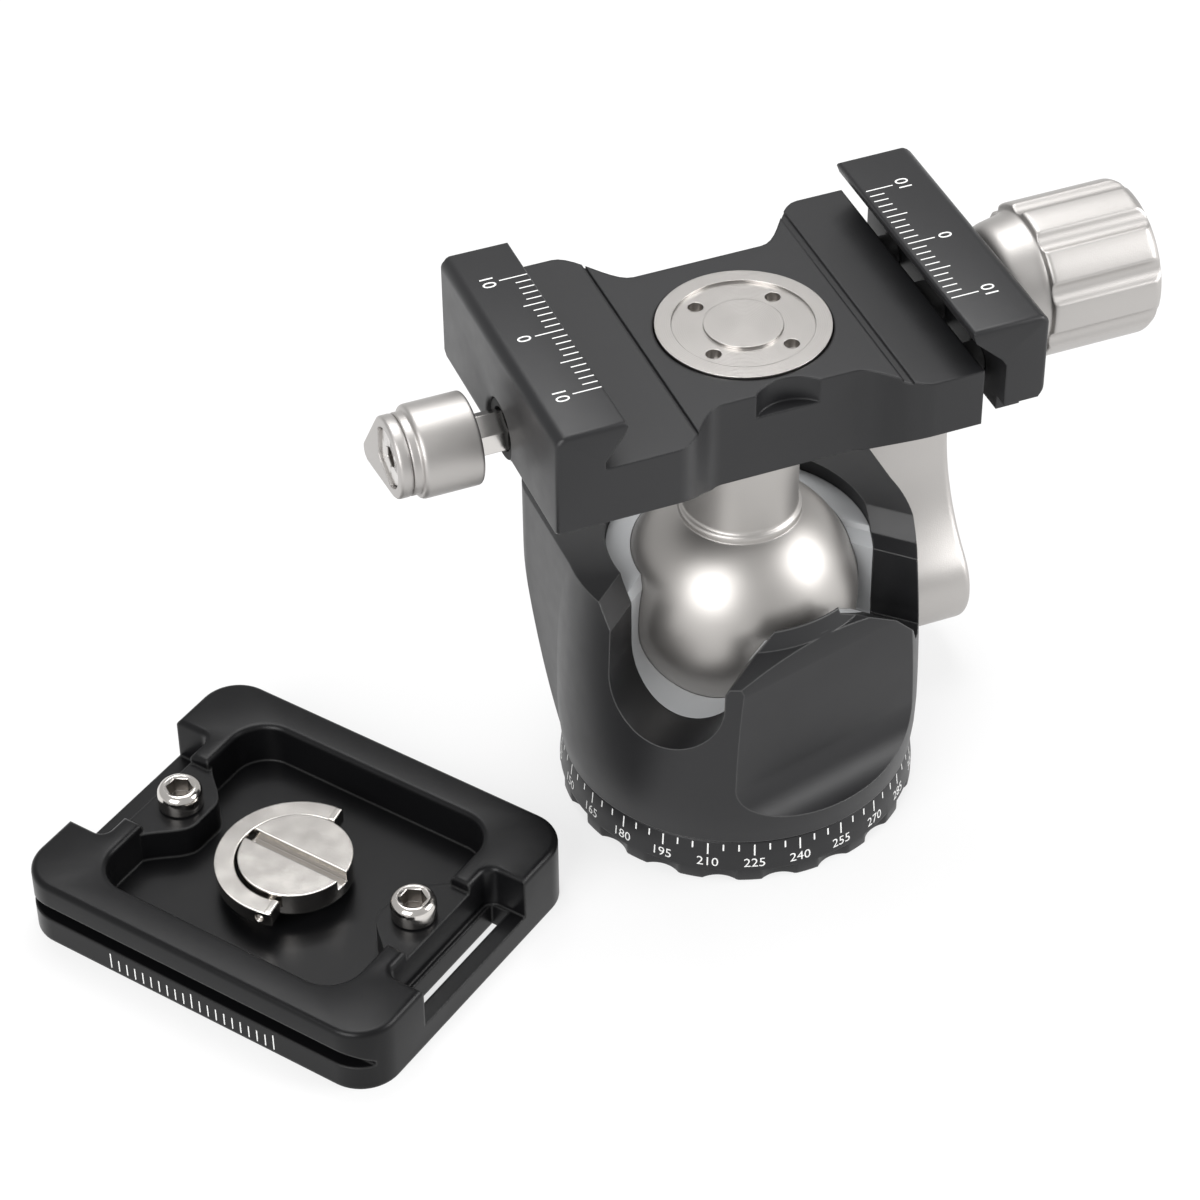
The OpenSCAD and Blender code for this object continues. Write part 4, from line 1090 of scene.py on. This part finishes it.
    def build(self) -> None:
        """Makes the clamp's pieces."""
        edge_z, edge_x = self.top_z - self.jaw_edge_h, self.left_inner_x + self.jaw_edge_w
        body = self.skin("clamp_body", BLACK)
        self.soften(body, self.jaw_round, lambda p: (p.z > edge_z and p.x < edge_x) or p.x < self.corner_x)
        self.skin("clamp_disc", DISC)
        jaw = self.skin("moving_jaw", BLACK, "moving_jaw")
        self.soften(jaw, self.jaw_round, lambda p: p.z > edge_z or p.x > self.jaw_corner_x)
        self.knob()
        self.jaw_scale(-1)
        self.jaw_scale(1)
        self.dress(DARK_STEEL, "guide_pins", "jaw_springs", "clamp_screw")
        self.dress(STEEL, "clamp_washer")
        self.dress(RUBBER, "tool_ring")


@dataclass
class StowedTool(Assembly):
    """The key kept in the clamp: bar, handle, blade and end screw."""

    axis_z: float = 54.2
    start_x: float = 29.6
    wide_l: float = 6.18
    neck_l: float = 1.06
    wide_r: float = 4.84
    neck_r: float = 4.26
    step_l: float = 0.15
    blade_t: float = 1.4
    blade_edge: float = 0.3
    reach: float = 8.0
    tip_r: float = 1.2
    drop: float = 32.0
    eye_steps: int = 60
    tip_steps: int = 14
    recess_r: float = 3.18
    recess_depth: float = 1.2
    head: SocketHead = SocketHead(((3.0, -1.1), (3.0, -0.42), (2.86, -0.3), (1.3, -0.3)), 1.04, -0.42, -0.98)
    body: ClassVar[str] = "tool"

    def handle(self) -> bpy.types.Object:
        """Makes the handle as one turned profile with a step down to the blade.

        Returns:
            The handle.
        """
        total = self.wide_l + self.neck_l
        wide = [(0, 0), (self.wide_r, 0), (self.wide_r, self.wide_l)]
        neck = [(self.neck_r, self.wide_l + self.step_l), (self.neck_r, total), (0, total)]
        profile = rounded(wide + neck, [0, 0.35, 0.5, 0.1, 0.15, 0])
        obj = lathe("tool_handle_skin", profile, (-self.start_x, 0, self.axis_z), (-1, 0, 0))
        return self.place(obj, SATIN, "tool_handle")

    def outline(self, inset: float) -> np.ndarray:
        """Works out the blade's outline: a round eye drawn out to a rounded point.

        The straight flanks touch both arcs at the angle whose cosine is the radii's difference over the
        reach.

        Args:
            inset: How far inside the full outline it runs.

        Returns:
            Its points, n by 2.
        """
        lean = math.degrees(math.acos((self.neck_r - self.tip_r) / self.reach))
        return np.concatenate([arc(0, 0, self.neck_r - inset, lean, 360 - lean, self.eye_steps),
                               arc(self.reach, 0, self.tip_r - inset, -lean, lean, self.tip_steps)])

    def blade(self) -> bpy.types.Object:
        """Makes the blade: its outline stacked along X, with rounded rims and a recess for the end screw.

        Returns:
            The blade.
        """
        rims = rounding(self.blade_t, self.blade_edge, 4)
        stack = [(self.outline(inset), height) for inset, height in rims]
        outlines = sunk(stack, self.recess_r, self.recess_depth, -self.drop)
        points = along_x(outlines, (-self.start_x - self.wide_l - self.neck_l, 0.0, self.axis_z), -1)
        return self.place(slab("tool_blade_skin", points), SATIN, "tool_blade")

    def end_screw(self) -> bpy.types.Object:
        """Makes the end screw: a flat disc with a six-sided socket, sunk in the blade's recess.

        Returns:
            The screw.
        """
        end_x = -self.start_x - self.wide_l - self.neck_l - self.blade_t
        points = along_x(self.head.outlines(), (end_x, 0.0, self.axis_z), -1)
        screw = self.place(slab("tool_end_screw_skin", points), STEEL, "tool_end_screw")
        # The socket's faces are painted darker as the shade inside it.
        self.paint_socket_shade(screw, lambda p: self.head.holds(math.hypot(p.y, p.z - self.axis_z), end_x - p.x))
        return screw

    def build(self) -> None:
        """Makes the tool's pieces."""
        self.handle()
        self.blade()
        self.end_screw()
        self.dress(STEEL, "tool_hex_bar")


@dataclass
class CameraPlate(Assembly):
    """The loose plate, its stop screws, camera screw and folding ring.

    The lugs' sizes are across and along the folding ring, from the camera screw's axis.
    """

    x: float = -51.9
    y: float = -3.2
    turn: float = -55.2
    half_w: float = 18.5
    rim_z: float = 8.0
    edge_round: float = 0.65
    stop_x: float = 15.3
    stop_z: float = 6.8
    head: SocketHead = SocketHead(((1.5, -2.9), (1.5, 0.0), (2.2, 0.0), (2.42, 0.2), (2.45, 1.5), (2.4, 1.95),
                                   (2.2, 2.35), (1.9, 2.56), (1.66, 2.6), (1.5, 2.5)), 1.25, 2.4, 0.7)
    ring_turn: float = 100.0
    lug_inner: float = 6.45
    lug_outer: float = 8.45
    lug_back: float = -1.36
    lug_front: float = -0.56
    lug_z: float = 5.0
    lug_h: float = 1.95
    lug_edge: float = 0.12
    scale_half: float = 10.6
    scale_steps: int = 20
    line_low: float = 0.45
    long_top: float = 2.55
    short_top: float = 2.05
    line_w: float = 0.16
    proud: float = 0.015
    body: ClassVar[str] = "plate"

    def to_world(self, points: np.ndarray) -> np.ndarray:
        """Points of the plate's own frame, n by 3, in the model's."""
        level = turned(points[:, :2], self.turn) + np.array([self.x, self.y])
        return np.column_stack([level, points[:, 2]])

    def stops(self) -> None:
        """Makes both stop screws as one piece: cap heads with soft rims and deep sockets, on their shanks."""
        outlines = self.head.outlines()
        shell = shell_faces(*outlines.shape[:2])
        head = outlines.reshape(-1, 3)
        points = [self.to_world(head + np.array([x, 0.0, self.stop_z])) for x in (-self.stop_x, self.stop_x)]
        faces = shell + [[i + len(head) for i in face] for face in shell]
        obj = mesh_object("stop_screws_skin", np.concatenate(points), faces, 40.0)
        self.place(obj, NICKEL, "stop_screws")
        axes = self.to_world(np.array([[-self.stop_x, 0.0, 0.0], [self.stop_x, 0.0, 0.0]]))
        # The sockets' faces are painted darker as the shade inside them.
        self.paint_socket_shade(obj, lambda p: self.head.holds(min(math.hypot(p.x - x, p.y - y) for x, y, _ in axes),
                                                 p.z - self.stop_z))

    def lugs(self) -> None:
        """Makes the square ends of the folding ring, a little proud of it, one at each pivot."""
        for name, side in (("ring_lug_near", -1), ("ring_lug_far", 1)):
            rings = []
            for inset, height in rounding(self.lug_h, self.lug_edge, 3):
                inner, outer = self.lug_inner + inset, self.lug_outer - inset
                back, front = self.lug_back + inset, self.lug_front - inset
                flat = np.array([[side * inner, back], [side * outer, back],
                                 [side * outer, front], [side * inner, front]])
                rings.append(self.to_world(raised(turned(flat, self.ring_turn), self.lug_z + height)))
            self.place(slab(name, np.array(rings), 15.0), NICKEL, body="d_ring")

    def scale(self) -> bpy.types.Object:
        """Makes the lines on the plate's long edge, longer at both ends and in the middle.

        Returns:
            The scale.
        """
        marks = Marks()
        for k in range(self.scale_steps + 1):
            u = -self.scale_half + 2 * self.scale_half * k / self.scale_steps
            top = self.long_top if k % 10 == 0 else self.short_top
            marks.line((u, self.line_low), (u, top), self.line_w)
        flat = marks.flat()
        points = np.column_stack([flat[:, 0], np.full(len(flat), -self.half_w - self.proud), flat[:, 1]])
        return self.place(mesh_object("plate_scale", self.to_world(points), marks.faces), INK)

    def build(self) -> None:
        """Makes the plate's pieces."""
        plate = self.skin("plate", BLACK_PLATE)
        self.crown(plate, self.rim_z, self.edge_round)
        self.stops()
        self.skin("camera_screw", NICKEL, "camera_screw")
        self.skin("d_ring", NICKEL, "d_ring")
        self.lugs()
        self.dress(STEEL, "d_ring_pins")
        self.scale()


@dataclass(frozen=True)
class Lamp:
    """A square soft lamp.

    Args:
        name: Plain name.
        place: Where it stands, in metres.
        aim: The point that it faces, in metres.
        size: Its side, in metres.
        power: Its power, in watts.
    """

    name: str
    place: Vec3
    aim: Vec3
    size: float
    power: float

    def build(self) -> None:
        """Adds the lamp to the scene."""
        data = bpy.data.lights.new(self.name, "AREA")
        data.size = self.size
        data.energy = self.power
        obj = bpy.data.objects.new(self.name, data)
        turn = (Vector(self.aim) - Vector(self.place)).to_track_quat("-Z", "Y").to_matrix().to_4x4()
        obj.matrix_world = Matrix.Translation(self.place) @ turn
        bpy.context.scene.collection.objects.link(obj)


@dataclass
class Studio:
    """Pale floor, white surroundings, soft lamps and the camera at the photograph's viewing angle."""

    camera_mm: Vec3 = (-124.8, -277.7, 286.3)
    azimuth: float = -21.420
    elevation: float = 40.861
    roll: float = -0.706
    lens_mm: float = 112.84
    world: float = 0.55
    floor_half: float = 3.0
    floor_grey: float = 0.82
    floor_white: float = 0.72
    lamps: tuple[Lamp, ...] = (
        Lamp("left soft box", (-0.42, -0.30, 0.34), (0.0, 0.0, 0.03), 0.34, 2.6),
        Lamp("right soft box", (0.45, -0.22, 0.30), (0.0, 0.0, 0.03), 0.30, 2.2),
        Lamp("overhead soft box", (0.05, 0.25, 0.62), (0.0, 0.0, 0.04), 0.40, 2.6),
    )

    def camera(self) -> bpy.types.Object:
        """Places the camera by azimuth, elevation and roll.

        Returns:
            The camera.
        """
        az, el, roll = (math.radians(v) for v in (self.azimuth, self.elevation, self.roll))
        back = Vector((math.sin(az) * math.cos(el), -math.cos(az) * math.cos(el), math.sin(el)))
        right = Vector((math.cos(az), math.sin(az), 0.0))
        up = back.cross(right)
        side = right * math.cos(roll) + up * math.sin(roll)
        top = up * math.cos(roll) - right * math.sin(roll)
        data = bpy.data.cameras.new("camera")
        data.sensor_fit = "HORIZONTAL"
        data.sensor_width = 36.0
        data.lens = self.lens_mm
        data.clip_start = 0.01
        obj = bpy.data.objects.new("camera", data)
        turn = Matrix((side, top, back)).transposed().to_4x4()
        obj.matrix_world = Matrix.Translation(Vector(self.camera_mm) * MM) @ turn
        bpy.context.scene.collection.objects.link(obj)
        bpy.context.scene.camera = obj
        return obj

    def seen_by(self, tree: bpy.types.NodeTree, ray: str) -> bpy.types.NodeSocket:
        """Tells the camera's rays and those of one more kind from the rest.

        Args:
            tree: The nodes.
            ray: The other kind, as the Light Path node names it.

        Returns:
            A value that is 1 for both kinds and 0 for the rest.
        """
        path = tree.nodes.new("ShaderNodeLightPath")
        either = tree.nodes.new("ShaderNodeMath")
        either.operation = "MAXIMUM"
        tree.links.new(path.outputs["Is Camera Ray"], either.inputs[0])
        tree.links.new(path.outputs[ray], either.inputs[1])
        return either.outputs[0]

    def surroundings(self) -> None:
        """Makes a world that is white to the camera and through glass, and a plain level on the object."""
        world = bpy.data.worlds.new("studio")
        bpy.context.scene.world = world
        world.use_nodes = True
        tree = world.node_tree
        tree.nodes.clear()
        out = tree.nodes.new("ShaderNodeOutputWorld")
        mix = tree.nodes.new("ShaderNodeMixShader")
        tree.links.new(self.seen_by(tree, "Is Transmission Ray"), mix.inputs[0])
        for socket, strength in ((1, self.world), (2, 1.0)):
            light = tree.nodes.new("ShaderNodeBackground")
            light.inputs["Color"].default_value = (1, 1, 1, 1)
            light.inputs["Strength"].default_value = strength
            tree.links.new(light.outputs[0], mix.inputs[socket])
        tree.links.new(mix.outputs[0], out.inputs["Surface"])

    def floor(self) -> None:
        """Makes a wide pale floor that reads as white to the camera and keeps the object's shadow."""
        half = self.floor_half
        mesh = bpy.data.meshes.new("floor")
        mesh.from_pydata([(-half, -half, 0), (half, -half, 0), (half, half, 0), (-half, half, 0)], [],
                         [(0, 1, 2, 3)])
        obj = bpy.data.objects.new("floor", mesh)
        bpy.context.scene.collection.objects.link(obj)
        mat = bpy.data.materials.new("white floor")
        mat.use_nodes = True
        tree = mat.node_tree
        tree.nodes.clear()
        out = tree.nodes.new("ShaderNodeOutputMaterial")
        matt = tree.nodes.new("ShaderNodeBsdfDiffuse")
        matt.inputs["Color"].default_value = (self.floor_grey, self.floor_grey, self.floor_grey, 1)
        glow = tree.nodes.new("ShaderNodeEmission")
        glow.inputs["Strength"].default_value = 1.0
        part = tree.nodes.new("ShaderNodeMath")
        part.operation = "MULTIPLY"
        part.inputs[1].default_value = self.floor_white
        mix = tree.nodes.new("ShaderNodeMixShader")
        tree.links.new(self.seen_by(tree, "Is Glossy Ray"), part.inputs[0])
        tree.links.new(part.outputs[0], mix.inputs[0])
        tree.links.new(matt.outputs[0], mix.inputs[1])
        tree.links.new(glow.outputs[0], mix.inputs[2])
        tree.links.new(mix.outputs[0], out.inputs["Surface"])
        mesh.materials.append(mat)

    def build(self) -> None:
        """Sets the stage."""
        bpy.context.scene.view_settings.view_transform = "Standard"
        self.camera()
        self.surroundings()
        self.floor()
        for lamp in self.lamps:
            lamp.build()


def main() -> None:
    """Builds the sub-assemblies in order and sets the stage."""
    logging.basicConfig(level=logging.INFO, format="%(message)s")
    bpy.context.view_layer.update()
    for part in (Studio(), PanBase(), HousingAndBall(), Lock(), Clamp(), StowedTool(), CameraPlate()):
        part.build()
    bpy.context.view_layer.update()


if __name__ == "__main__":
    main()
